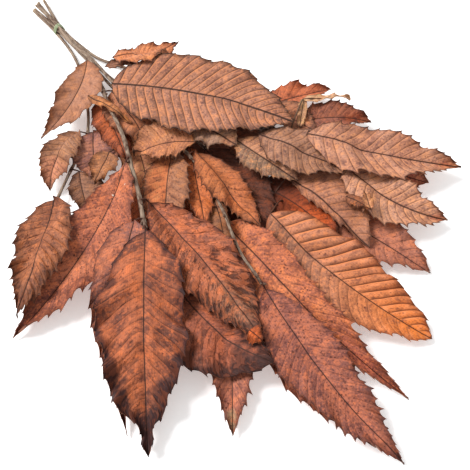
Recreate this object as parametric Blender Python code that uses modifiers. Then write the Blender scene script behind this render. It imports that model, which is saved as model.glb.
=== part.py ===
"""A tied bunch of cut sweet chestnut twigs with their dried autumn leaves, lying on a flat surface.

The twigs run along +Y to their cut ends, where a narrow band ties them. The leaves fan out towards -Y.
Every leaf is one thin toothed blade. The pieces are laid down one after another: each twig and leaf
keeps its own natural height, or is lifted just clear of what already lies under it.

Sizes in the tables are millimetres. The finished meshes are in metres.
"""

import math
from dataclasses import dataclass

import bmesh
import bpy
import numpy as np

MM = 0.001

LEAF_THICKNESS = 0.7
LEAF_GAP = 0.2
UPPER_FACE_ALLOWANCE = 1.2
STALK_HALF_WIDTH = 0.9
TIP_HALF_WIDTH = 0.5
SHORTEST_STALK = 6.0
EDGE_SWEEP = 0.42
TOOTH_DEPTH = 2.4
TOOTH_POINT = 0.7
FLAT_SPOT_HEIGHT = 0.9

TWIG_GAP = 0.25
TWIG_SPACING = 18.0
TWIG_NODE_SWELL = 1.22
TWIG_NODE_REACH = 9.0

TIE_PLACE_Y = 312.0
TIE_WIDTH = 4.5
TIE_THICKNESS = 1.0
TIE_CLEARANCE = 0.5
TIE_REACH = 7.0

# The middle of the bunch's own box, in the tables' coordinates. It is moved to the origin.
BOX_CENTRE = (3.5, 57.5)

PILE_CELL = 1.5
PILE_LOW = (-260.0, -300.0)
PILE_CELLS = (360, 460)


@dataclass(frozen=True)
class Twig:
    """One cut twig: its way over the surface, its least height at each point, and its two radii."""

    name: str
    route: tuple
    cut_radius: float
    end_radius: float
    colour: tuple = (0.25, 0.20, 0.15)


@dataclass(frozen=True)
class Leaf:
    """One leaf: where its blade starts and ends, how wide it is, and how it curls.

    bow is the bend of the midrib to the left. left and right scale the two halves' widths. The cups raise
    the edges, lean tips the blade over, wave ripples its edges and arch raises its middle. A large belly
    narrows the blade near its stalk, and a large taper narrows it towards its tip.
    """

    name: str
    twig: str
    base: tuple
    tip: tuple
    width: float
    heights: tuple
    bow: float = 0.0
    left: float = 1.0
    right: float = 1.0
    cup_left: float = 4.0
    cup_right: float = 4.0
    lean: float = 0.0
    arch: float = 4.0
    wave: float = 1.5
    waves: float = 3.0
    belly: float = 0.6
    taper: float = 1.0
    teeth: int = 10
    columns: int = 4
    colour: tuple = (0.42, 0.15, 0.05)


TWIGS = {
    twig.name: twig
    for twig in (
        Twig("twig_r", ((6, 350, 4), (3.8, 312, 3), (8, 280, 3), (15, 252, 3), (25, 235, 4), (47, 192, 5),
                        (70, 139, 6), (88, 89, 8), (112, 49, 10), (128, 3, 12)), 1.6, 1.5),
        Twig("twig_o", ((1, 352, 4), (0, 312, 3), (4, 270, 3), (10, 227, 3), (20, 169, 4), (35, 105, 5),
                        (42, 57, 7), (50, 25, 9), (60, -2, 10), (80, -22, 10)), 1.6, 1.5),
        Twig("twig_l", ((-6, 348, 4), (-3.8, 312, 3), (-4, 288, 3), (-7, 266, 4), (-16, 238, 6), (-28, 207, 8),
                        (-41, 184, 9), (-57, 164, 10), (-70, 156, 10), (-95, 138, 10), (-107, 129, 10)), 1.6, 1.4),
        Twig("twig_b", ((-5, 343, 7), (-1.9, 312, 6), (1, 267, 7), (2, 225, 9), (5, 163, 12), (11, 104, 16),
                        (11, 56, 20), (0, 19, 22), (-11, -22, 22), (-14, -58, 20)), 1.6, 2.0),
        Twig("twig_m", ((-1, 348, 8), (1.9, 312, 6), (4, 265, 10), (3, 230, 16), (1, 204, 22), (10, 167, 26),
                        (21, 133, 26), (38, 100, 24), (55, 82, 22)), 1.6, 1.4),
        Twig("twig_a", ((-3, 345, 11), (0, 312, 9), (-1, 280, 11), (0, 238, 15), (-8, 212, 20), (-18, 179, 24),
                        (-26, 144, 26), (-38, 108, 28), (-49, 79, 28), (-64, 45, 26)), 1.6, 2.0),
    )
}

ORANGE = (0.47, 0.17, 0.05)
RUST = (0.36, 0.11, 0.04)
TAN = (0.48, 0.24, 0.11)
DUSTY = (0.40, 0.19, 0.11)
DARK = (0.17, 0.06, 0.04)
PLUM = (0.25, 0.10, 0.07)

# The order is the order of laying down: a leaf lies over the ones before it. A twig's name stands where
# that twig is laid.
PILE = (
    "twig_r",
    "twig_o",
    "twig_l",
    Leaf("leaf_r_under", "twig_r", (125, 67), (177, 24), 37, (12, 10), bow=8, teeth=6, columns=2, colour=DARK),
    Leaf("leaf_r_top_back", "twig_r", (92, 106), (175, 80), 30, (10, 11), bow=2, arch=2, teeth=8, colour=RUST),
    Leaf("leaf_r_inner", "twig_r", (114, 96), (128, 44), 32, (12, 12), arch=2, teeth=6, columns=2,
         colour=DUSTY),
    Leaf("leaf_r_end_low", "twig_r", (134, -2), (180, -57), 39, (10, 6), teeth=7, columns=2, colour=RUST),
    Leaf("leaf_o_end_low", "twig_o", (83, -28), (120, -126), 46, (12, 0), left=1.1, teeth=8, taper=1.1,
         colour=RUST),
    Leaf("leaf_o_inner", "twig_o", (46, 30), (66, -57), 50, (14, 12), bow=6, teeth=7, columns=2, colour=RUST),
    Leaf("leaf_o_dark", "twig_o", (40, 102), (16, -20), 56, (4, 0), bow=8, cup_left=0.5, cup_right=0.5,
         arch=-2, wave=0.2, teeth=8, columns=2, colour=DARK),
    Leaf("leaf_o_inner_right", "twig_o", (74, 20), (87, -80), 53, (18, 12), bow=2, teeth=8, colour=DUSTY),
    Leaf("leaf_o_orange", "twig_o", (34, -6), (76, -174), 68, (18, 4), bow=-8, teeth=11, wave=2.5, waves=4,
         taper=0.8, colour=ORANGE),
    Leaf("leaf_b_back", "twig_b", (-7, 187), (-46, 67), 43, (14, 10), bow=7, teeth=7, columns=2, colour=RUST),
    Leaf("leaf_b_low", "twig_b", (-20, -44), (-15, -226), 44, (14, 0), bow=-11, teeth=10, taper=1.15,
         colour=RUST),
    Leaf("leaf_b_side", "twig_b", (-1, -9), (26, -202), 52, (18, 4), bow=-7, left=0.95, teeth=11, taper=1.2,
         colour=RUST),
    Leaf("leaf_b_lobe", "twig_b", (6, 53), (-21, -16), 36, (16, 12), bow=2, teeth=6, columns=2, colour=TAN),
    Leaf("leaf_b_front_low", "twig_b", (-15, -9), (-106, -143), 48, (14, 3), bow=1, teeth=9, taper=1.05,
         colour=PLUM),
    Leaf("leaf_b_strip", "twig_b", (21, 101), (-19, 18), 31, (16, 14), teeth=7, columns=2, colour=ORANGE),
    Leaf("leaf_b_left", "twig_b", (13, 112), (-58, 23), 42, (20, 16), bow=-3, teeth=9, colour=ORANGE),
    Leaf("leaf_b_dotted", "twig_b", (20, 89), (18, -13), 37, (20, 16), teeth=9, colour=ORANGE),
    "twig_b",
    Leaf("leaf_b_end", "twig_b", (-15, -60), (-12, -239), 54, (24, 4), bow=-7, teeth=12, wave=2.5, waves=4,
         belly=0.55, taper=1.15, colour=RUST),
    Leaf("leaf_l_inner", "twig_l", (-75, 145), (-91, 100), 31, (12, 6), bow=-2, teeth=5, columns=2, colour=DUSTY),
    Leaf("leaf_a_inner", "twig_a", (-45, 134), (-70, 120), 27, (14, 10), teeth=5, columns=2, colour=TAN),
    Leaf("leaf_l_plum", "twig_l", (-43, 170), (-65, 118), 35, (14, 12), bow=-1, teeth=7, colour=PLUM),
    "twig_m",
    "twig_a",
    Leaf("leaf_a_orange", "twig_a", (-40, 115), (-206, 34), 50, (26, 0), bow=12, left=1.15, teeth=11,
         wave=2.5, waves=4, taper=1.15, colour=ORANGE),
    Leaf("leaf_a_under", "twig_a", (-68, 56), (-173, -93), 50, (22, 0), bow=-10, right=0.7, teeth=10,
         belly=0.5, taper=1.3, colour=RUST),
    Leaf("leaf_a_right_low", "twig_a", (-62, 30), (-50, -119), 58, (22, 6), bow=-17, right=1.4, teeth=9,
         taper=0.8, colour=PLUM),
    Leaf("leaf_a_right", "twig_a", (-46, 66), (-46, -98), 57, (26, 12), bow=4, teeth=10, wave=3, waves=4,
         colour=RUST),
    Leaf("leaf_a_front", "twig_a", (-67, 38), (-168, -119), 72, (28, 4), bow=-2, teeth=12, wave=3, waves=4,
         belly=0.7, taper=1.2, colour=PLUM),
    Leaf("leaf_l_left", "twig_l", (-52, 179), (-108, 141), 41, (12, 6), bow=-8, right=0.75, teeth=8,
         belly=0.8, colour=DUSTY),
    Leaf("leaf_l_top", "twig_l", (-3, 246), (-86, 195), 42, (18, 10), bow=9, right=0.8, teeth=8, taper=1.2,
         colour=TAN),
    Leaf("leaf_l_end", "twig_l", (-108, 125), (-194, 44), 50, (16, 6), bow=3, left=1.05, right=0.95, teeth=10,
         wave=2.5, waves=4, belly=0.75, colour=RUST),
    Leaf("leaf_m_end", "twig_m", (57, 81), (76, 8), 40, (26, 22), bow=-1, teeth=9, colour=DUSTY),
    Leaf("leaf_m_folded", "twig_m", (24, 95), (-30, 117), 45, (28, 24), bow=-5, teeth=7, colour=TAN),
    Leaf("leaf_m_grey", "twig_m", (24, 117), (52, 69), 40, (30, 26), bow=3, teeth=7, columns=2, colour=DUSTY),
    Leaf("leaf_r_end_wide", "twig_r", (123, -3), (165, -98), 56, (22, 8), bow=-12, left=0.9, teeth=9,
         taper=1.1, colour=DUSTY),
    Leaf("leaf_r_dusty", "twig_r", (75, 66), (122, -13), 49, (28, 24), bow=-2, teeth=9, colour=DUSTY),
    Leaf("leaf_r_long", "twig_r", (109, 38), (213, -64), 60, (28, 10), bow=-4, left=0.72, teeth=11, taper=1.1,
         colour=DUSTY),
    Leaf("leaf_r_curled", "twig_r", (138, 74), (177, 53), 18, (14, 16), bow=2, arch=2, teeth=4, columns=2,
         colour=TAN),
    Leaf("leaf_l_red", "twig_l", (-11, 214), (-38, 135), 34, (14, 12), teeth=6, columns=2, colour=RUST),
    Leaf("leaf_a_small", "twig_a", (-15, 189), (-9, 146), 36, (26, 24), bow=1, teeth=6, columns=2, colour=RUST),
    Leaf("leaf_m_big", "twig_m", (-4, 195), (108, 57), 96, (34, 34), bow=9, left=0.92, teeth=12, cup_left=2,
         cup_right=2, arch=2, wave=1.2, taper=0.85, colour=DUSTY),
    Leaf("leaf_r_small", "twig_r", (16, 229), (85, 209), 22, (16, 22), bow=-2, left=0.7, cup_left=2,
         cup_right=2, arch=0, wave=0.8, teeth=7, columns=2, colour=RUST),
)


class Heights:
    """The height of the pile over every small cell of the surface."""

    def __init__(self, cells=PILE_CELLS):
        self.top = np.zeros(cells)

    def cells(self, x, y):
        """The cell that each place falls in."""
        column = ((np.asarray(x) - PILE_LOW[0]) / PILE_CELL).astype(int)
        row = ((np.asarray(y) - PILE_LOW[1]) / PILE_CELL).astype(int)
        return np.clip(column, 1, PILE_CELLS[0] - 2), np.clip(row, 1, PILE_CELLS[1] - 2)

    def under(self, x, y):
        """The highest point of the pile near each place."""
        column, row = self.cells(x, y)
        highest = self.top[column, row]
        for step_x in (-1, 0, 1):
            for step_y in (-1, 0, 1):
                highest = np.maximum(highest, self.top[column + step_x, row + step_y])
        return highest

    def needed(self, x, y, gap):
        """The height that a new piece must have at each place, with a gap to what lies there."""
        highest = self.under(x, y)
        return np.where(highest > 0.0, highest + gap, 0.0)

    def add(self, x, y, top):
        """Raise the pile to the new piece's top."""
        column, row = self.cells(x, y)
        np.maximum.at(self.top, (column, row), top)


def along(values, places, at):
    """Read several columns of values at new places along a line."""
    return np.stack([np.interp(at, places, values[:, k]) for k in range(values.shape[1])], axis=1)


def smooth_route(points):
    """Put evenly spaced points on a smooth curve through a route's own points."""
    points = np.array(points, float)
    steps = np.hypot(*np.diff(points[:, :2], axis=0).T)
    places = np.concatenate([[0.0], np.cumsum(steps)])
    slopes = np.gradient(points, places, axis=0)
    count = int(round(places[-1] / TWIG_SPACING)) + 1
    at = np.linspace(0.0, places[-1], count)
    span = np.clip(np.searchsorted(places, at, side="right") - 1, 0, len(points) - 2)
    length = (places[span + 1] - places[span])[:, None]
    part = (at[:, None] - places[span][:, None]) / length
    start, end = points[span], points[span + 1]
    out, back = slopes[span] * length, slopes[span + 1] * length
    curve = (
        (2 * part**3 - 3 * part**2 + 1) * start
        + (part**3 - 2 * part**2 + part) * out
        + (3 * part**2 - 2 * part**3) * end
        + (part**3 - part**2) * back
    )
    return curve, at


def widest_near(values, reach, axis):
    """The largest value within a number of steps along one axis."""
    padding = [(0, 0)] * values.ndim
    padding[axis] = (reach, reach)
    padded = np.pad(values, padding, mode="edge")
    size = values.shape[axis]
    return np.max([np.take(padded, range(k, k + size), axis) for k in range(2 * reach + 1)], axis=0)


def mean_near(values, reach, axis):
    """The mean value within a number of steps along one axis."""
    padding = [(0, 0)] * values.ndim
    padding[axis] = (reach, reach)
    padded = np.pad(values, padding, mode="edge")
    size = values.shape[axis]
    return np.mean([np.take(padded, range(k, k + size), axis) for k in range(2 * reach + 1)], axis=0)


def smooth_cover(values, reach, axis):
    """A smooth line or sheet that is nowhere lower than the values."""
    half = max(1, reach // 2)
    cover = widest_near(values, 2 * half, axis)
    return mean_near(mean_near(cover, half, axis), half, axis)


class LaidTwig:
    """A twig that has been laid on the pile."""

    def __init__(self, twig, heights, blades, laid_twigs):
        self.twig = twig
        self.route, self.at = smooth_route(twig.route)
        self.radius = np.interp(self.at, (0.0, self.at[-1]), (twig.cut_radius, twig.end_radius))
        for leaf in (piece for piece in PILE if isinstance(piece, Leaf) and piece.twig == twig.name):
            _, _, place = self.nearest(leaf.base)
            self.radius[np.abs(self.at - place) < TWIG_NODE_REACH] *= TWIG_NODE_SWELL
        self.radius = np.minimum(self.radius, TWIG_NODE_SWELL * max(twig.cut_radius, twig.end_radius))
        self.lay(heights, blades, laid_twigs)

    def lay(self, heights, blades, laid_twigs):
        """Lift the twig clear of the blades and twigs that it crosses, then add it to the pile."""
        fine_at = np.arange(0.0, self.at[-1], 1.0)
        fine = along(self.route, self.at, fine_at)
        radius = np.interp(fine_at, self.at, self.radius)
        heading = np.gradient(fine[:, :2], axis=0)
        heading /= np.linalg.norm(heading, axis=1)[:, None]
        across = np.stack([-heading[:, 1], heading[:, 0]], axis=1)
        least = np.maximum(fine[:, 2], radius + 0.1)
        for side in np.linspace(-1.0, 1.0, 7):
            place = fine[:, :2] + across * (side * radius)[:, None]
            least = np.maximum(least, blades.needed(place[:, 0], place[:, 1], TWIG_GAP) + radius)
        for other in laid_twigs:
            apart = np.linalg.norm(fine[:, None, :2] - other.fine[None, :, :2], axis=2)
            touch = radius[:, None] + other.fine_radius[None, :] + TWIG_GAP
            rise = np.sqrt(np.maximum(touch**2 - apart**2, 0.0))
            least = np.maximum(least, np.where(apart < touch, other.fine[None, :, 2] + rise, 0.0).max(axis=1))
        fine[:, 2] = smooth_cover(least, 14, 0)
        self.route[:, 2] = np.interp(self.at, fine_at, fine[:, 2])
        centre = along(self.route, self.at, fine_at)
        self.fine, self.fine_radius = centre, radius
        for side in np.linspace(-1.0, 1.0, 9):
            place = centre[:, :2] + across * (side * radius)[:, None]
            heights.add(place[:, 0], place[:, 1], centre[:, 2] + radius * math.sqrt(1.0 - 0.6 * side * side))

    def nearest(self, place):
        """The twig's point nearest to a place, its height and its radius."""
        fine_at = np.arange(0.0, self.at[-1], 1.0)
        fine = along(self.route, self.at, fine_at)
        index = int(np.argmin(np.hypot(fine[:, 0] - place[0], fine[:, 1] - place[1])))
        return fine[index], float(np.interp(fine_at[index], self.at, self.radius)), fine_at[index]


class LaidLeaf:
    """A leaf that has been laid on the pile. Stations run from -1 at the twig over 0 to 1 at the tip."""

    def __init__(self, leaf, start, heights, twig_above):
        self.leaf = leaf
        self.twig_above = twig_above
        self.root_height = start[2]
        self.base = np.array(leaf.base, float)
        self.tip = np.array(leaf.tip, float)
        self.start = np.array(start[:2], float)
        chord = self.tip - self.base
        if np.hypot(*(self.base - self.start)) < SHORTEST_STALK:
            self.base = self.start + chord / np.hypot(*chord) * SHORTEST_STALK
        self.lay(heights)

    def spine(self, station):
        """The midrib's place at each station."""
        chord = self.tip - self.base
        left = np.array([-chord[1], chord[0]]) / np.hypot(*chord)
        part = np.clip(station, 0.0, 1.0)[..., None]
        blade = self.base + chord * part + left * self.leaf.bow * 4.0 * part * (1.0 - part)
        stalk = self.start + (self.base - self.start) * np.clip(station + 1.0, 0.0, 1.0)[..., None]
        return np.where(station[..., None] < 0.0, stalk, blade)

    def left_hand(self, station):
        """The direction to the leaf's left at each station."""
        chord = self.tip - self.base
        left = np.array([-chord[1], chord[0]]) / np.hypot(*chord)
        part = np.clip(station, 0.0, 1.0)[..., None]
        heading = chord + left * self.leaf.bow * 4.0 * (1.0 - 2.0 * part)
        heading = heading / np.linalg.norm(heading, axis=-1)[..., None]
        return np.stack([-heading[..., 1], heading[..., 0]], axis=-1)

    def half_width(self, station):
        """Half the blade's width, without its teeth."""
        belly, taper = self.leaf.belly, self.leaf.taper
        part = np.clip(station, 0.0, 1.0)
        shape = part**belly * (1.0 - part) ** taper
        widest = belly / (belly + taper)
        peak = widest**belly * (1.0 - widest) ** taper
        ends = np.where(station > 0.5, TIP_HALF_WIDTH, STALK_HALF_WIDTH)
        return np.maximum(ends, self.leaf.width / 2.0 * shape / peak)

    def tooth(self, station):
        """How far the teeth stand out from the edge: each rises slowly and drops quickly."""
        phase = np.mod(np.clip(station, 0.0, 1.0) * self.leaf.teeth, 1.0)
        rise = np.where(phase < TOOTH_POINT, phase / TOOTH_POINT, (1.0 - phase) / (1.0 - TOOTH_POINT))
        inside = (station > 0.03) & (station < 0.97)
        return np.where(inside, TOOTH_DEPTH * (rise - 0.35), 0.0)

    def plan(self, station, across):
        """The place on the surface of each point of the blade."""
        part = np.clip(station, 0.0, 1.0)
        swept = station + EDGE_SWEEP * part * (1.0 - part) * np.abs(across)
        half = self.half_width(swept) * np.where(across > 0.0, self.leaf.left, self.leaf.right)
        half = half + self.tooth(station) * np.abs(across) ** 6
        return self.spine(swept) + self.left_hand(swept) * (half * across)[..., None]

    def relief(self, station, across):
        """The blade's own curl, measured from its midrib."""
        leaf = self.leaf
        part = np.clip(station, 0.0, 1.0)
        body = np.sin(math.pi * part) ** 0.7
        cup = np.where(across > 0.0, leaf.cup_left, leaf.cup_right) * np.abs(across) ** 1.8
        turn = 2.0 * math.pi * leaf.waves * part + np.where(across > 0.0, 0.0, 1.9)
        ripple = leaf.wave * np.abs(across) ** 1.5 * np.sin(turn)
        tipped = math.tan(math.radians(leaf.lean)) * across * leaf.width / 2.0
        return body * (cup + ripple + tipped)

    def natural(self, station):
        """The height that the midrib keeps where nothing lifts it."""
        part = np.clip(station, 0.0, 1.0)
        start, end = self.leaf.heights
        return start + (end - start) * part + self.leaf.arch * 4.0 * part * (1.0 - part)

    def lay(self, heights):
        """Drape the blade over the pile, then add it to the pile."""
        leaf = self.leaf
        self.fine_stations = np.concatenate([np.linspace(-1.0, -0.1, 10), np.linspace(0.0, 1.0, 121)])
        self.fine_across = np.linspace(-1.0, 1.0, 33)
        station, across = np.meshgrid(self.fine_stations, self.fine_across, indexing="ij")
        place = self.plan(station, across)
        relief = self.relief(station, across)
        least = heights.needed(place[..., 0], place[..., 1], LEAF_GAP) - relief
        least = np.maximum(least, self.natural(station))
        blade = slice(10, None)
        lift = smooth_cover(smooth_cover(least[blade], 10, 0), 4, 1)
        sheet = np.zeros_like(least)
        sheet[blade] = lift + relief[blade]
        first = sheet[10].mean()
        root = float(heights.needed(*self.start, LEAF_GAP))
        if self.twig_above:
            root = max(root, self.root_height)
        fade = (self.fine_stations[:10] + 1.0)[:, None]
        stalk = root + (first - root) * fade**0.7
        sheet[:10] = np.maximum(stalk, heights.needed(place[:10, :, 0], place[:10, :, 1], LEAF_GAP))
        self.sheet = sheet

        self.stations = self.row_stations()
        self.across = np.linspace(-1.0, 1.0, leaf.columns + 1)
        station, across = np.meshgrid(self.stations, self.across, indexing="ij")
        self.place = self.plan(station, across)
        self.height = self.read_sheet(station, across)
        for _ in range(2):
            self.push_clear(heights)
        self.height = np.where(self.height < FLAT_SPOT_HEIGHT, 0.0, self.height)
        self.add_to(heights)

    def add_to(self, heights):
        """Raise the pile to the blade's upper face."""
        x, y, z = self.patches()
        heights.add(x, y, z + LEAF_THICKNESS * UPPER_FACE_ALLOWANCE)

    def row_stations(self):
        """The mesh's rows: three on the stalk, two for each tooth, and one at the tip."""
        teeth = self.leaf.teeth
        rows = [-1.0, -0.5, 0.0]
        for tooth in range(teeth):
            if tooth > 0:
                rows.append(tooth / teeth)
            rows.append((tooth + TOOTH_POINT) / teeth)
        rows.append(1.0)
        return np.array(rows)

    def read_sheet(self, station, across):
        """The draped sheet's height at the mesh's points."""
        row = np.interp(station, self.fine_stations, np.arange(len(self.fine_stations)))
        column = np.interp(across, self.fine_across, np.arange(len(self.fine_across)))
        low_row = np.clip(row.astype(int), 0, len(self.fine_stations) - 2)
        low_column = np.clip(column.astype(int), 0, len(self.fine_across) - 2)
        part_row, part_column = row - low_row, column - low_column
        near = self.sheet[low_row, low_column] * (1 - part_column) + self.sheet[low_row, low_column + 1] * part_column
        far = (
            self.sheet[low_row + 1, low_column] * (1 - part_column)
            + self.sheet[low_row + 1, low_column + 1] * part_column
        )
        return near * (1 - part_row) + far * part_row

    def patches(self):
        """Closely spaced points on every flat triangle that the mesh can have."""
        steps = 11
        grid_a, grid_b = np.meshgrid(np.linspace(0, 1, steps), np.linspace(0, 1, steps), indexing="ij")
        corners = np.dstack([self.place, self.height])
        c00, c10 = corners[:-1, :-1, None, :], corners[1:, :-1, None, :]
        c01, c11 = corners[:-1, 1:, None, :], corners[1:, 1:, None, :]
        a, b = grid_a.ravel()[None, None, :, None], grid_b.ravel()[None, None, :, None]
        first = np.where(a + b <= 1.0, c00 + (c10 - c00) * a + (c01 - c00) * b,
                         c11 + (c01 - c11) * (1 - a) + (c10 - c11) * (1 - b))
        second = np.where(a <= b, c00 + (c01 - c00) * (b - a) + (c11 - c00) * a,
                          c00 + (c10 - c00) * (a - b) + (c11 - c00) * b)
        both = np.concatenate([first, second], axis=2)
        return both[..., 0], both[..., 1], both[..., 2]

    def push_clear(self, heights):
        """Raise the mesh's points where a flat triangle would cut into the pile."""
        x, y, z = self.patches()
        short = np.maximum(0.0, heights.needed(x, y, TWIG_GAP) - z).max(axis=2)
        raised = np.zeros_like(self.height)
        for rows in (slice(0, -1), slice(1, None)):
            for columns in (slice(0, -1), slice(1, None)):
                raised[rows, columns] = np.maximum(raised[rows, columns], short)
        self.height = self.height + raised


def twig_start(leaf):
    """Where a stalk starts, under a twig that is not laid yet."""
    twig = TWIGS[leaf.twig]
    route, at = smooth_route(twig.route)
    route = along(route, at, np.arange(0.0, at[-1], 1.0))
    start = route[int(np.argmin(np.hypot(*(route[:, :2] - np.array(leaf.base)).T)))]
    start[2] -= twig.end_radius * TWIG_NODE_SWELL + TWIG_GAP + LEAF_THICKNESS
    return start


def laid_bunch():
    """Lay down the whole bunch in order."""
    heights, blades = Heights(), Heights()
    for x in np.arange(-TIE_REACH, TIE_REACH, 1.0):
        for y in np.arange(TIE_PLACE_Y - TIE_WIDTH, TIE_PLACE_Y + TIE_WIDTH, 1.0):
            blades.add(x, y, TIE_THICKNESS)
    twigs, leaves = {}, []
    for piece in PILE:
        if isinstance(piece, str):
            twigs[piece] = LaidTwig(TWIGS[piece], heights, blades, twigs.values())
        else:
            twig_above = piece.twig not in twigs
            start = twig_start(piece) if twig_above else twigs[piece.twig].nearest(piece.base)[0]
            leaves.append(LaidLeaf(piece, start, heights, twig_above))
            leaves[-1].add_to(blades)
    return twigs, leaves


def material(name, colour, roughness):
    """A plain finish."""
    finish = bpy.data.materials.new(name)
    finish.use_nodes = True
    shader = finish.node_tree.nodes["Principled BSDF"]
    shader.inputs["Base Color"].default_value = (*colour, 1.0)
    shader.inputs["Roughness"].default_value = roughness
    shader.inputs["Metallic"].default_value = 0.0
    return finish


def in_metres(x, y, z):
    """A place of the tables in the part's own frame."""
    return ((x - BOX_CENTRE[0]) * MM, (y - BOX_CENTRE[1]) * MM, z * MM)


def keep(piece, collection, finish):
    """Name a piece's finish and put it in the bunch's collection."""
    piece.data.materials.clear()
    piece.data.materials.append(finish)
    for other in list(piece.users_collection):
        other.objects.unlink(piece)
    collection.objects.link(piece)


def make_leaf(laid, collection):
    """Shape a grid into the laid leaf and give it its thickness."""
    rows, columns = laid.height.shape
    bpy.ops.mesh.primitive_grid_add(x_subdivisions=columns - 1, y_subdivisions=rows - 1, size=1.0)
    piece = bpy.context.active_object
    piece.name = laid.leaf.name
    piece.data.name = laid.leaf.name
    for vertex in piece.data.vertices:
        column = round((vertex.co.x + 0.5) * (columns - 1))
        row = round((vertex.co.y + 0.5) * (rows - 1))
        # The grid's +X is the leaf's right hand, so that its faces look up.
        column = columns - 1 - column
        place = laid.place[row, column]
        vertex.co = in_metres(place[0], place[1], laid.height[row, column])
    piece.modifiers.new("triangles", "TRIANGULATE").quad_method = "FIXED"
    wall = piece.modifiers.new("thickness", "SOLIDIFY")
    wall.thickness = LEAF_THICKNESS * MM
    wall.offset = 1.0
    keep(piece, collection, material(laid.leaf.name, laid.leaf.colour, 0.75))
    return piece


def make_twig(laid, collection):
    """A tapering tube with a swelling where each leaf stalk starts."""
    curve = bpy.data.curves.new(laid.twig.name, "CURVE")
    curve.dimensions = "3D"
    curve.bevel_depth = MM
    curve.bevel_resolution = 2
    curve.use_fill_caps = True
    spline = curve.splines.new("POLY")
    spline.points.add(len(laid.route) - 1)
    for point, place, radius in zip(spline.points, laid.route, laid.radius):
        point.co = (*in_metres(*place), 1.0)
        point.radius = radius
    piece = bpy.data.objects.new(laid.twig.name, curve)
    collection.objects.link(piece)
    curve.materials.append(material(laid.twig.name, laid.twig.colour, 0.8))
    return piece


def make_tie(twigs, collection):
    """A band that follows the outside of the six twigs."""
    places, radii = [], []
    for laid in twigs.values():
        point, radius, _ = laid.nearest((TWIGS[laid.twig.name].route[1][0], TIE_PLACE_Y))
        places.append((point[0], point[2]))
        radii.append(radius)
    places, radii = np.array(places), np.array(radii)
    bpy.ops.mesh.primitive_cylinder_add(vertices=28, radius=1.0, depth=TIE_WIDTH, end_fill_type="NOTHING")
    piece = bpy.context.active_object
    piece.name = "tie"
    piece.data.name = "tie"
    middle = places.mean(axis=0)
    turns = np.radians(np.arange(0, 360, 5))
    outward = np.stack([np.cos(turns), np.sin(turns)], axis=1)
    support = ((places - middle) @ outward.T + radii[:, None]).max(axis=0) + TIE_CLEARANCE
    for vertex in piece.data.vertices:
        direction = np.array([vertex.co.x, vertex.co.y])
        facing = outward @ direction
        reach = (support[facing > 0.2] / facing[facing > 0.2]).min()
        place = middle + direction * reach
        vertex.co = in_metres(place[0], TIE_PLACE_Y - vertex.co.z, place[1])
    wall = piece.modifiers.new("thickness", "SOLIDIFY")
    wall.thickness = TIE_THICKNESS * MM
    wall.offset = 1.0
    keep(piece, collection, material("tie", (0.33, 0.40, 0.20), 0.6))
    return piece


def main():
    """Build the bunch."""
    for piece in list(bpy.data.objects):
        bpy.data.objects.remove(piece, do_unlink=True)
    collection = bpy.data.collections.new("bunch_of_autumn_leaves")
    bpy.context.scene.collection.children.link(collection)
    twigs, leaves = laid_bunch()
    for laid in twigs.values():
        make_twig(laid, collection)
    for laid in leaves:
        make_leaf(laid, collection)
    make_tie(twigs, collection)


main()
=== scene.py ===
"""The looks of a tied bunch of sweet chestnut twigs with their dried autumn leaves, lying on a pale table.

The pile is laid down by the same rule as its solids: each twig and leaf keeps its own natural height, or
is lifted just clear of what already lies under it. Here each blade has its veins, pleats, ruffled edges and
pointed teeth, each twig has its nodes and buds, and every leaf has its own autumn colours.

The tables are in millimetres. The finished meshes are in metres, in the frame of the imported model.
"""

import logging
import math
from dataclasses import dataclass, field
from enum import Enum

import bpy
import numpy as np
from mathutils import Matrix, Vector


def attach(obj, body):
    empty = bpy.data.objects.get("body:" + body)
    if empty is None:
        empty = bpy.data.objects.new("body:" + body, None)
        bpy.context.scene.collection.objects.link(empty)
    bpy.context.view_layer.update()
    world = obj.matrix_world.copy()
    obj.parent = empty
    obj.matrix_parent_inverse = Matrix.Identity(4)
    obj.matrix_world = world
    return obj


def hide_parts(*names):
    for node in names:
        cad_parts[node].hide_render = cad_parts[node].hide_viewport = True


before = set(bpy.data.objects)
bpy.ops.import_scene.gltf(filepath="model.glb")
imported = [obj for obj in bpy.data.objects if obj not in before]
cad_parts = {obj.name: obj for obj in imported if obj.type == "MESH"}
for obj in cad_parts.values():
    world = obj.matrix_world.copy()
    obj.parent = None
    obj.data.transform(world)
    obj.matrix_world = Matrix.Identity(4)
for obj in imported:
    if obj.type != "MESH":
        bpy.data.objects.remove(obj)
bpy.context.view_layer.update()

LOG = logging.getLogger("leaf_bunch")
BODY = "root"

MM = 0.001
# The middle of the bunch's box, in the tables' coordinates. It lies at the frame's origin.
TABLE_CENTRE = (3.5, 57.5)

Rgb = tuple[float, float, float]
Place = tuple[float, float]
Route = tuple[tuple[float, float, float], ...]


# The colours below are as they look in the bright studio light. The surface's own is this share of that.
OWN_SHARE = 0.83


def linear(colour: Rgb, share: float = OWN_SHARE) -> tuple[float, float, float, float]:
    """Turn a colour from sRGB numbers of 0 to 255 into what a shader reads.

    Args:
        colour: The colour as it looks on a screen.
        share: The share of its light that is the surface's own.

    Returns:
        The linear colour with full alpha.
    """
    parts = [part / 255.0 for part in colour]
    parts = [part / 12.92 if part <= 0.04045 else ((part + 0.055) / 1.055) ** 2.4 for part in parts]
    return (*(part * share for part in parts), 1.0)


def shaded(colour: Rgb, share: float) -> Rgb:
    """A darker or lighter relative of a colour."""
    return tuple(min(255.0, part * share) for part in colour)


def sunlit(colour: Rgb) -> Rgb:
    """A brighter, warmer relative of a colour: the blade's own pale patches, and the painted highlights."""
    red, green, blue = colour
    return min(255.0, red * 1.20), min(255.0, green * 1.12), blue * 0.94


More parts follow.
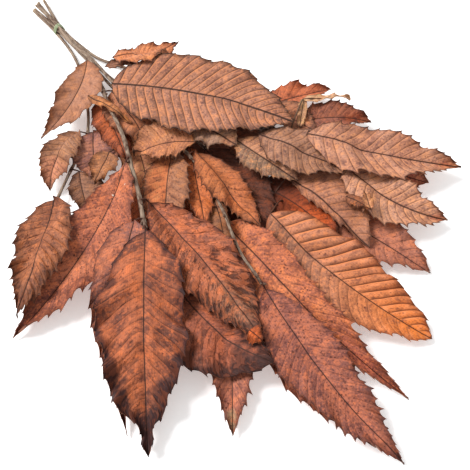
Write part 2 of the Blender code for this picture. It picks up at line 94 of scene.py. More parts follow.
def burnt(colour: Rgb) -> Rgb:
    """A dark, slightly purple relative of a colour."""
    red, green, blue = colour
    return red * 0.50, green * 0.46, blue * 0.56


class Value:
    """A socket of a material, with Python's operators for its maths."""

    def __init__(self, nodes: "Nodes", socket: bpy.types.NodeSocket) -> None:
        """Keep the socket and the tree that it belongs to."""
        self.nodes = nodes
        self.socket = socket

    def __add__(self, other: "Value | float") -> "Value":
        """The sum."""
        return self.nodes.maths("ADD", self, other)

    def __radd__(self, other: float) -> "Value":
        """The sum, with the number first."""
        return self.nodes.maths("ADD", other, self)

    def __sub__(self, other: "Value | float") -> "Value":
        """The difference."""
        return self.nodes.maths("SUBTRACT", self, other)

    def __rsub__(self, other: float) -> "Value":
        """The difference, with the number first."""
        return self.nodes.maths("SUBTRACT", other, self)

    def __mul__(self, other: "Value | float") -> "Value":
        """The product."""
        return self.nodes.maths("MULTIPLY", self, other)

    def __rmul__(self, other: float) -> "Value":
        """The product, with the number first."""
        return self.nodes.maths("MULTIPLY", other, self)

    def __truediv__(self, other: "Value | float") -> "Value":
        """The quotient."""
        return self.nodes.maths("DIVIDE", self, other)

    def __abs__(self) -> "Value":
        """The distance from nought."""
        return self.nodes.maths("ABSOLUTE", self)

    def part(self) -> "Value":
        """What is left above the whole number."""
        return self.nodes.maths("FRACT", self)

    def rise(self, low: float, high: float) -> "Value":
        """A smooth step from 0 at low to 1 at high. It falls where low is the larger.

        Args:
            low: The value that gives 0.
            high: The value that gives 1.

        Returns:
            The step.
        """
        sockets = {"Value": self, "From Min": low, "From Max": high}
        return self.nodes.node("ShaderNodeMapRange", {"interpolation_type": "SMOOTHSTEP"}, sockets)


class Nodes:
    """A new material's node tree."""

    def __init__(self, name: str) -> None:
        """Make a material that holds only its output.

        Args:
            name: The material's name.
        """
        self.material = bpy.data.materials.new(name)
        self.material.use_nodes = True
        self.tree = self.material.node_tree
        self.tree.nodes.clear()

    def node(
        self,
        kind: str,
        settings: dict[str, object] | None = None,
        sockets: dict[str | int, object] | None = None,
        output: str | int = 0,
    ) -> Value:
        """Add one node.

        Args:
            kind: The node's type.
            settings: The node's own settings, which are set first.
            sockets: Values or links for its inputs, by name or number.
            output: The output to return, by name or number.

        Returns:
            The output, ready for more maths.
        """
        made = self.tree.nodes.new(kind)
        for name, setting in (settings or {}).items():
            setattr(made, name, setting)
        for name, value in (sockets or {}).items():
            if isinstance(value, Value):
                self.tree.links.new(value.socket, made.inputs[name])
            else:
                made.inputs[name].default_value = value
        return Value(self, made.outputs[output])

    def maths(self, operation: str, *values: Value | float) -> Value:
        """Add one Math node."""
        return self.node("ShaderNodeMath", {"operation": operation}, dict(enumerate(values)))

    def mix(self, first: object, second: object, share: Value | float) -> Value:
        """Mix two colours.

        Args:
            first: The colour where share is 0.
            second: The colour where share is 1.
            share: How much of the second shows.

        Returns:
            The mixed colour.
        """
        return self.node("ShaderNodeMix", {"data_type": "RGBA"}, {0: share, 6: first, 7: second}, 2)

    def noise(self, place: Value, size: float, detail: float = 3.0, roughness: float = 0.55) -> Value:
        """Add noise.

        Args:
            place: The coordinates that it reads.
            size: The width of its patches, in the coordinates' own unit.
            detail: How many finer layers it has.
            roughness: How strong the finer layers are.

        Returns:
            The noise, about 0.5 on average.
        """
        sockets = {"Vector": place, "Scale": 1.0 / size, "Detail": detail, "Roughness": roughness}
        return self.node("ShaderNodeTexNoise", None, sockets, "Fac")

    def spots(self, place: Value, spacing: float) -> Value:
        """The distance to the nearest of many scattered points, in spacings.

        Args:
            place: The coordinates that it reads.
            spacing: The mean distance between the points.

        Returns:
            The distance.
        """
        sockets = {"Vector": place, "Scale": 1.0 / spacing}
        return self.node("ShaderNodeTexVoronoi", None, sockets, "Distance")

    def parts(self, place: Value) -> tuple[Value, Value, Value]:
        """Split a vector.

        Args:
            place: The vector.

        Returns:
            Its three numbers.
        """
        split = self.node("ShaderNodeSeparateXYZ", None, {0: place})
        outputs = split.socket.node.outputs
        return split, Value(self, outputs[1]), Value(self, outputs[2])

    def attribute(self, name: str) -> Value:
        """A vector that the mesh holds at each point."""
        return self.node("ShaderNodeAttribute", {"attribute_name": name}, None, "Vector")

    def finish(
        self, colour: Value, roughness: Value, height_mm: Value, specular: float
    ) -> bpy.types.Material:
        """Close the material with its surface.

        Args:
            colour: The base colour.
            roughness: The roughness.
            height_mm: The fine relief, in millimetres.
            specular: The plain specular level.

        Returns:
            The material.
        """
        relief = {"Strength": 1.0, "Distance": MM, "Height": height_mm}
        bump = self.node("ShaderNodeBump", None, relief, "Normal")
        surface = self.node(
            "ShaderNodeBsdfPrincipled",
            None,
            {"Base Color": colour, "Roughness": roughness, "Specular IOR Level": specular, "Normal": bump},
        )
        return self.close(surface)

    def close(self, surface: Value) -> bpy.types.Material:
        """Join a shader to the material's output.

        Args:
            surface: The shader's output.

        Returns:
            The material.
        """
        output = self.tree.nodes.new("ShaderNodeOutputMaterial")
        self.tree.links.new(surface.socket, output.inputs["Surface"])
        return self.material


@dataclass(frozen=True)
class LeafFinish:
    """The colours of one dried leaf, as sRGB numbers, and how strongly each layer shows.

    body and mottle share the blade. edge runs in from the margin over edge_reach millimetres, and vein
    darkens the ribs. right takes the half at the leaf's right hand, and tip the blade beyond tip_from, where
    its colour sets in over tip_blend to either side. rib is the midrib's half width in millimetres. The rest
    are shares from 0 to 1: mottling and grain say how strong the broad patches and the fine grain are, dots
    how many dark dots there are, flecks how bright the pale flecks are, shade how strongly the painted
    highlight and shade of the pleats show, lines how dark the veins are drawn and right_lines how much of
    that the right half keeps, scorch_and_shade how far dark patches run in from the margin, partly the
    leaf's own scorched margin and partly painted shade of its folded edges, creased how dark the painted
    shade in the creases along the veins is, with a painted highlight on the ridges between them, and rim how
    dark the very edge is, partly its own dark teeth and partly painted shade under its raised edge.
    """

    body: Rgb
    mottle: Rgb
    edge: Rgb
    vein: Rgb = (88, 50, 38)
    right: Rgb | None = None
    tip: Rgb | None = None
    tip_from: float = 0.8
    edge_reach: float = 5.0
    mottling: float = 0.6
    dots: float = 0.3
    flecks: float = 0.0
    shade: float = 0.25
    lines: float = 0.45
    scorch_and_shade: float = 0.2
    creased: float = 0.12
    grain: float = 0.6
    rim: float = 0.55
    tip_blend: float = 0.06
    rib: float = 0.55
    right_lines: float = 1.0

    def material(self, name: str, veins: int) -> bpy.types.Material:
        """Build the leaf's material on its own veins.

        Args:
            name: The material's name.
            veins: How many side veins each half has.

        Returns:
            The material.
        """
        return LeafPaint(self, name, veins).material()


class LeafPaint:
    """One leaf's colour, laid on in layers over its own veins."""

    def __init__(self, finish: LeafFinish, name: str, veins: int) -> None:
        """Read the blade's measures and make the noises that the layers share.

        Args:
            finish: The leaf's colours.
            name: The material's name.
            veins: How many side veins each half has.
        """
        nodes = self.nodes = Nodes(name)
        self.finish = finish
        self.spot = nodes.node("ShaderNodeTexCoord", None, None, "Object")
        self.across, self.station, _ = nodes.parts(nodes.node("ShaderNodeUVMap", {"uv_map": BLADE_UV}))
        self.from_rib, self.from_edge, self.below = nodes.parts(nodes.attribute(MEASURE))
        self.broad = nodes.noise(self.spot, BROAD_PATCH * MM)
        self.patches = nodes.noise(self.spot, SCORCH_AND_SHADE_PATCH * MM, 3.0)
        self.middle = nodes.noise(self.spot, SMALL_PATCH * MM, 4.0)
        self.fine = nodes.noise(self.spot, FINE_GRAIN * MM, 3.0)
        self.turn = self.station * veins
        # The streaks and folds run out from the rib, between the veins.
        places = {0: self.from_rib / 45.0, 1: self.turn, 2: self.across * 3.0}
        along_veins = nodes.node("ShaderNodeCombineXYZ", None, places)
        self.streaks = nodes.noise(along_veins, 0.30, 3.0)
        self.folds = nodes.noise(along_veins, 0.42, 1.0)
        self.left_half = self.across.rise(0.495, 0.505)
        self.colour: object = linear(finish.body)

    def lay(self, layer: Rgb | Value, share: Value) -> None:
        """Lay one more colour over what is there.

        Args:
            layer: The colour, as sRGB numbers or ready mixed.
            share: How much of it shows.
        """
        mixed = layer if isinstance(layer, Value) else linear(layer)
        self.colour = self.nodes.mix(self.colour, mixed, share)

    def ground(self) -> None:
        """Lay the mottled blade with its own right half, tip and margin."""
        finish = self.finish
        mottled = self.broad.rise(0.44, 0.57) * finish.mottling
        self.lay(finish.mottle, mottled)
        if finish.right:
            half = self.nodes.mix(linear(finish.right), linear(shaded(finish.right, 0.82)), mottled)
            self.colour = self.nodes.mix(half, self.colour, self.left_half)
        if finish.tip:
            reach = self.station + (self.middle - 0.5) * 0.2
            start, end = finish.tip_from - finish.tip_blend, finish.tip_from + finish.tip_blend
            self.lay(finish.tip, reach.rise(start, end))
        uneven_edge = self.from_edge + (self.middle - 0.5) * finish.edge_reach * 1.6
        self.lay(finish.edge, uneven_edge.rise(finish.edge_reach, 0.0) * 0.85)

    def weather(self) -> None:
        """Tone the blade in patches, in a fine grain and in streaks along its veins."""
        body, grain = self.finish.body, self.finish.grain
        self.lay(burnt(body), self.middle.rise(0.52, 0.68) * 0.60)
        self.lay(sunlit(body), self.middle.rise(0.48, 0.32) * 0.60)
        self.lay(burnt(body), self.fine.rise(0.53, 0.68) * grain)
        self.lay(sunlit(body), self.fine.rise(0.47, 0.32) * grain * 0.8)
        self.lay(shaded(self.finish.mottle, 0.74), self.streaks.rise(0.52, 0.66) * 0.35)
        self.lay(sunlit(body), self.streaks.rise(0.47, 0.34) * 0.25)

    def paint_scorch_and_shade(self) -> Value:
        """Paint dark patches in from the margin, further towards the tip.

        They are partly the leaf's own scorched margin and partly painted shade of its folded-down edges.

        Returns:
            How scorched and shaded each point is.
        """
        reach = (3.0 + 12.0 * self.station.rise(0.30, 0.72)) * self.finish.scorch_and_shade
        depth = self.from_edge + (self.patches - 0.5) * 44.0 + (self.streaks - 0.5) * 12.0 - reach
        scorched_and_shaded = depth.rise(6.0, -6.0)
        # The dark patches: partly the leaf's own scorched margin, partly painted shade of its folded-down
        # edges.
        self.lay(shaded(self.finish.edge, 0.62), scorched_and_shaded * (0.2 + 0.75 * self.finish.scorch_and_shade))
        return scorched_and_shaded

    def fold(self) -> Value:
        """Paint shade into the creases along the veins and a highlight onto the ridges between them.

        Returns:
            Their relief, above 0 on the ridges.
        """
        finish = self.finish
        inward = self.from_rib.rise(1.0, 7.0)
        creases = (self.folds + (self.patches - 0.5) * 0.8).rise(0.56, 0.66) * inward
        creases = creases * self.station.rise(0.15, 0.50)
        ridges = (self.folds + (self.patches - 0.5) * 0.7).rise(0.50, 0.42) * inward
        # Painted shade in the creases and painted highlight on the ridges; the same masks also set the bump.
        self.lay(shaded(finish.edge, 0.45), creases * finish.creased)
        self.lay(sunlit(finish.body), ridges * finish.creased * 0.35)
        return (ridges - creases) * finish.creased * 1.1

    def veins(self, scorched_and_shaded: Value) -> Value:
        """Paint light and shade on the pleats by the side veins, and draw the veins and fine rungs between
        them.

        Args:
            scorched_and_shaded: How much of the margin's own dark colour and painted shade lies on each point.

        Returns:
            How deep the veins and rungs lie.
        """
        finish = self.finish
        from_vein = abs((self.turn - (VEIN_PHASE - 0.5)).part() - 0.5)
        after_vein = (self.turn - VEIN_PHASE).part()
        line = from_vein.rise(VEIN_LINE, 0.2 * VEIN_LINE) * self.from_rib.rise(0.0, 1.0)
        line = line * self.from_edge.rise(0.0, 3.0) * (0.45 + 0.55 * self.broad.rise(0.38, 0.56))
        drawn = finish.right_lines + (1.0 - finish.right_lines) * self.left_half
        off_rib = self.from_rib.rise(0.5, 4.0)
        # Painted highlight on the slope just past each vein, and painted shade on the slope before the next
        # one.
        lit_side = after_vein.rise(0.02, 0.07) * after_vein.rise(0.30, 0.09) * off_rib
        shaded_side = after_vein.rise(0.72, 0.99) * off_rib
        rungs = abs((self.from_rib / RUNG_PITCH + self.middle * 1.6).part() - 0.5).rise(0.20, 0.02)
        self.lay(sunlit(finish.body), lit_side * drawn * finish.shade * (1.0 - 0.85 * scorched_and_shaded))
        self.lay(shaded(finish.mottle, 0.66), shaded_side * drawn * finish.shade * 0.7)
        # Painted shade in the valley along each vein.
        self.lay(finish.vein, from_vein.rise(0.34, 0.0) * drawn * finish.shade * 0.25)
        self.lay(finish.vein, line * drawn * finish.lines)
        self.lay(shaded(finish.vein, 1.2), rungs * 0.16)
        return 0.18 * line + 0.05 * rungs

    def marks(self) -> None:
        """Lay on the dark dots, the pale flecks, the dark rim, the midrib and the paler back."""
        finish = self.finish
        if finish.dots:
            size = self.nodes.noise(self.spot, 0.012, 2.0).rise(0.60 - 0.32 * finish.dots, 0.72) * 0.29
            dark = (self.nodes.spots(self.spot, DOT_SPACING * MM) - size).rise(0.07, -0.04)
            self.lay(DOT_COLOUR, dark * 0.8)
        if finish.flecks:
            pale = (self.nodes.spots(self.spot, FLECK_SPACING * MM) + 0.16 * self.fine).rise(0.145, 0.120)
            self.lay(FLECK_COLOUR, pale * finish.flecks)
        # The dark rim is partly the edge's own dark teeth and partly painted shade under the raised edge.
        rim_tone_and_shade = self.from_edge.rise(1.3, 0.2) * (0.35 + 0.65 * self.middle.rise(0.40, 0.56))
        self.lay(shaded(finish.edge, 0.45), rim_tone_and_shade * finish.rim)
        self.lay(shaded(finish.vein, 0.62), self.from_rib.rise(finish.rib + 0.25, finish.rib - 0.15) * 0.88)
        pale_back = self.nodes.mix(linear(shaded(finish.body, 0.95)), linear(BACK_COLOUR), 0.45)
        self.lay(pale_back, self.below * 0.55)

    def material(self) -> bpy.types.Material:
        """Lay every layer on.

        Returns:
            The material.
        """
        self.ground()
        self.weather()
        scorched_and_shaded = self.paint_scorch_and_shade()
        folds = self.fold()
        veins = self.veins(scorched_and_shaded)
        self.marks()
        roughness = 0.50 + 0.22 * self.middle + 0.10 * self.fine
        height = 0.12 * self.fine + 0.12 * self.middle - veins + folds
        return self.nodes.finish(self.colour, roughness, height, LEAF_SHEEN)


@dataclass(frozen=True)
class BarkFinish:
    """The grey-brown bark of the cut twigs, as sRGB numbers."""

    ridge: Rgb = (164, 142, 122)
    furrow: Rgb = (92, 66, 52)
    node: Rgb = (84, 54, 40)
    lenticel: Rgb = (196, 182, 160)
    cut: Rgb = (176, 148, 112)

    def material(self, name: str) -> bpy.types.Material:
        """Build the bark's material on its own grain.

        Args:
            name: The material's name.

        Returns:
            The material.
        """
        nodes = Nodes(name)
        spot = nodes.node("ShaderNodeTexCoord", None, None, "Object")
        grain = nodes.attribute(GRAIN)
        near_node, near_end, _ = nodes.parts(nodes.attribute(MEASURE))
        streaks = nodes.noise(grain, 0.9, 4.0)
        patches = nodes.noise(spot, 0.012, 3.0)
        weathered = (streaks * 0.65 + patches * 0.35).rise(0.38, 0.60)
        colour = nodes.mix(linear(self.furrow), linear(self.ridge), weathered)
        colour = nodes.mix(colour, linear(self.node), near_node * 0.75)
        marks = nodes.spots(grain, 1.9).rise(0.26, 0.14)
        colour = nodes.mix(colour, linear(self.lenticel), marks * 0.55)
        colour = nodes.mix(colour, linear(self.cut), near_end)
        roughness = 0.62 + 0.25 * streaks
        height = 0.22 * streaks + 0.10 * marks
        return nodes.finish(colour, roughness, height, 0.30)


@dataclass(frozen=True)
class TieFinish:
    """The pale green ribbon of the tie, as sRGB numbers."""

    ribbon: Rgb = (166, 178, 138)
    fold: Rgb = (112, 126, 88)

    def material(self, name: str) -> bpy.types.Material:
        """Build the ribbon's material with fibres along it.

        Args:
            name: The material's name.

        Returns:
            The material.
        """
        nodes = Nodes(name)
        fibres = nodes.noise(nodes.attribute(GRAIN), 0.35, 3.0)
        colour = nodes.mix(linear(self.fold), linear(self.ribbon), fibres.rise(0.36, 0.58))
        return nodes.finish(colour, 0.42 + 0.2 * fibres, 0.15 * fibres, 0.45)


@dataclass(frozen=True)
class TableFinish:
    """The plain white table, with a faint glow of its own so that its shadows stay pale."""

    white: Rgb = (247, 247, 247)
    glow: float = 0.33

    def material(self, name: str) -> bpy.types.Material:
        """Build the table's plain matt material.

        Args:
            name: The material's name.

        Returns:
            The material.
        """
        nodes = Nodes(name)
        surface = nodes.node(
            "ShaderNodeBsdfPrincipled",
            None,
            {
                "Base Color": linear(self.white, 1.0),
                "Roughness": 0.9,
                "Specular IOR Level": 0.1,
                "Emission Color": linear(self.white, 1.0),
                "Emission Strength": self.glow,
            },
        )
        return nodes.close(surface)


BLADE_UV = "UVMap"
MEASURE = "measure"
GRAIN = "grain"

# Where a side vein lies between two teeth's starts, and the half width of its dark line, both in teeth.
VEIN_PHASE = 0.7
VEIN_LINE = 0.042
# The widths of the patches and grains in the leaves' colours, in millimetres.
BROAD_PATCH = 30.0
SCORCH_AND_SHADE_PATCH = 14.0
SMALL_PATCH = 8.0
FINE_GRAIN = 1.9
# The distances between rungs, dots and flecks in millimetres, sRGB colours, and the leaves' specular level.
RUNG_PITCH = 1.7
DOT_SPACING = 3.3
DOT_COLOUR = (92, 46, 34)
FLECK_SPACING = 21.0
FLECK_COLOUR = (226, 220, 206)
BACK_COLOUR = (178, 132, 100)
LEAF_SHEEN = 0.2


class Tint(Enum):
    """The record's slots for leaves and their main colours."""

    ORANGE = (214, 118, 70)
    RUST = (176, 88, 58)
    TAN = (208, 144, 98)
    DUSTY = (182, 124, 98)
    DARK = (118, 52, 32)
    PLUM = (140, 84, 70)


# The hidden lower leaves, which show only through the gaps of the pile: at the left, at the back and, in
# deep shade, in the middle and at the right. Those in the middle and at the right are near black: painted
# shade in the gaps.
DIM_FINISH = LeafFinish((224, 136, 98), (178, 106, 80), (90, 54, 42))
DUSK_FINISH = LeafFinish((128, 80, 60), (90, 56, 44), (64, 40, 32))
SHADE_FINISH = LeafFinish((52, 29, 21), (36, 22, 18), (30, 20, 16), dots=0.0, lines=0.1, grain=0.2)


@dataclass(frozen=True)
class Twig:
    """One cut twig: its route, as X, Y and least height, and the radii of its two ends."""

    name: str
    route: Route
    cut_radius: float
    end_radius: float


@dataclass(frozen=True)
class Leaf:
    """One leaf: where its blade starts and ends, how wide it is, how it curls and how it is coloured.

    heights are those of the midrib's two ends where nothing lifts it. bow is the bend of the midrib to the
    left. left and right scale the two halves' widths. The cups raise the edges, wave ripples them in so many
    waves, and arch raises the blade's middle. A large belly narrows the blade near its stalk, and a large
    taper narrows it towards its tip. teeth sets how many teeth and veins there are, and spike how far the
    teeth stand out. lobes is how uneven the outline is, and pinch the share by which it is drawn in at
    pinch_at. pleat is the height of the folds between the veins, pleat_right the share of it that the right
    half keeps, and ruffle the height of the small folds at the margin. A leaf that isn't in_frame exists only
    in the looks.
    """

    name: str
    twig: str
    base: Place
    tip: Place
    width: float
    heights: Place
    finish: LeafFinish
    bow: float = 0.0
    left: float = 1.0
    right: float = 1.0
    cup_left: float = 4.0
    cup_right: float = 4.0
    arch: float = 4.0
    wave: float = 2.2
    waves: float = 3.0
    belly: float = 0.8
    taper: float = 1.0
    teeth: int = 10
    pleat: float = 0.4
    pleat_right: float = 1.0
    ruffle: float = 1.5
    pinch: float = 0.0
    pinch_at: float = 0.86
    spike: float = 2.8
    lobes: float = 1.3
    in_frame: bool = True


TWIGS = {
    twig.name: twig
    for twig in (
        Twig("twig_r", ((8, 357, 5), (3.8, 312, 3), (8, 280, 3), (15, 252, 3), (25, 235, 4), (47, 192, 5),
                        (70, 139, 6), (88, 89, 8), (112, 49, 10), (128, 3, 12)), 1.6, 1.5),
        Twig("twig_o", ((2, 359, 4), (0, 312, 3), (4, 270, 3), (10, 227, 3), (20, 169, 4), (35, 105, 5),
                        (42, 57, 7), (50, 25, 9), (60, -2, 10), (80, -22, 10)), 1.6, 1.5),
        Twig("twig_l", ((-8, 353, 5), (-3.8, 312, 3), (-4, 288, 3), (-7, 266, 4), (-16, 238, 6),
                        (-28, 207, 8), (-41, 184, 9), (-57, 164, 10), (-70, 156, 10), (-95, 138, 10),
                        (-107, 129, 10)), 1.6, 1.4),
        Twig("twig_b", ((-7, 348, 8), (-1.9, 312, 6), (1, 267, 7), (2, 225, 9), (5, 163, 12), (11, 104, 16),
                        (11, 56, 20), (0, 19, 22), (-11, -22, 22), (-14, -58, 20)), 1.6, 1.3),
        Twig("twig_m", ((-1, 355, 9), (1.9, 312, 6), (4, 265, 10), (3, 230, 16), (1, 204, 22), (10, 167, 26),
                        (21, 133, 26), (38, 100, 24), (55, 82, 22)), 1.6, 1.2),
        Twig("twig_a", ((-4, 351, 12), (0, 312, 9), (-1, 280, 11), (0, 238, 15), (-8, 212, 20),
                        (-18, 179, 24), (-26, 144, 26), (-38, 108, 28), (-49, 79, 28),
                        (-64, 45, 26)), 1.6, 2.0),
    )
}

# Settings that several finishes or leaves share: crisp right-hand leaves, plainly veined ones, blotched and
# weathered ones, and the flat hidden leaves.
CRISP = {"shade": 0.4, "lines": 0.9, "dots": 0.0, "rim": 0.9, "edge_reach": 2.0, "grain": 0.7,
         "mottling": 0.9, "rib": 0.8}
VEINED = {"lines": 0.6, "dots": 0.0, "rib": 0.8}
BLOTCHED = {"grain": 0.7, "rim": 1.0, "lines": 0.3}
WEATHERED = {"dots": 1.0, "grain": 0.85, "lines": 0.3, "shade": 0.15}
HIDDEN = {"cup_left": 1, "cup_right": 1, "arch": 1, "wave": 0.5, "in_frame": False}

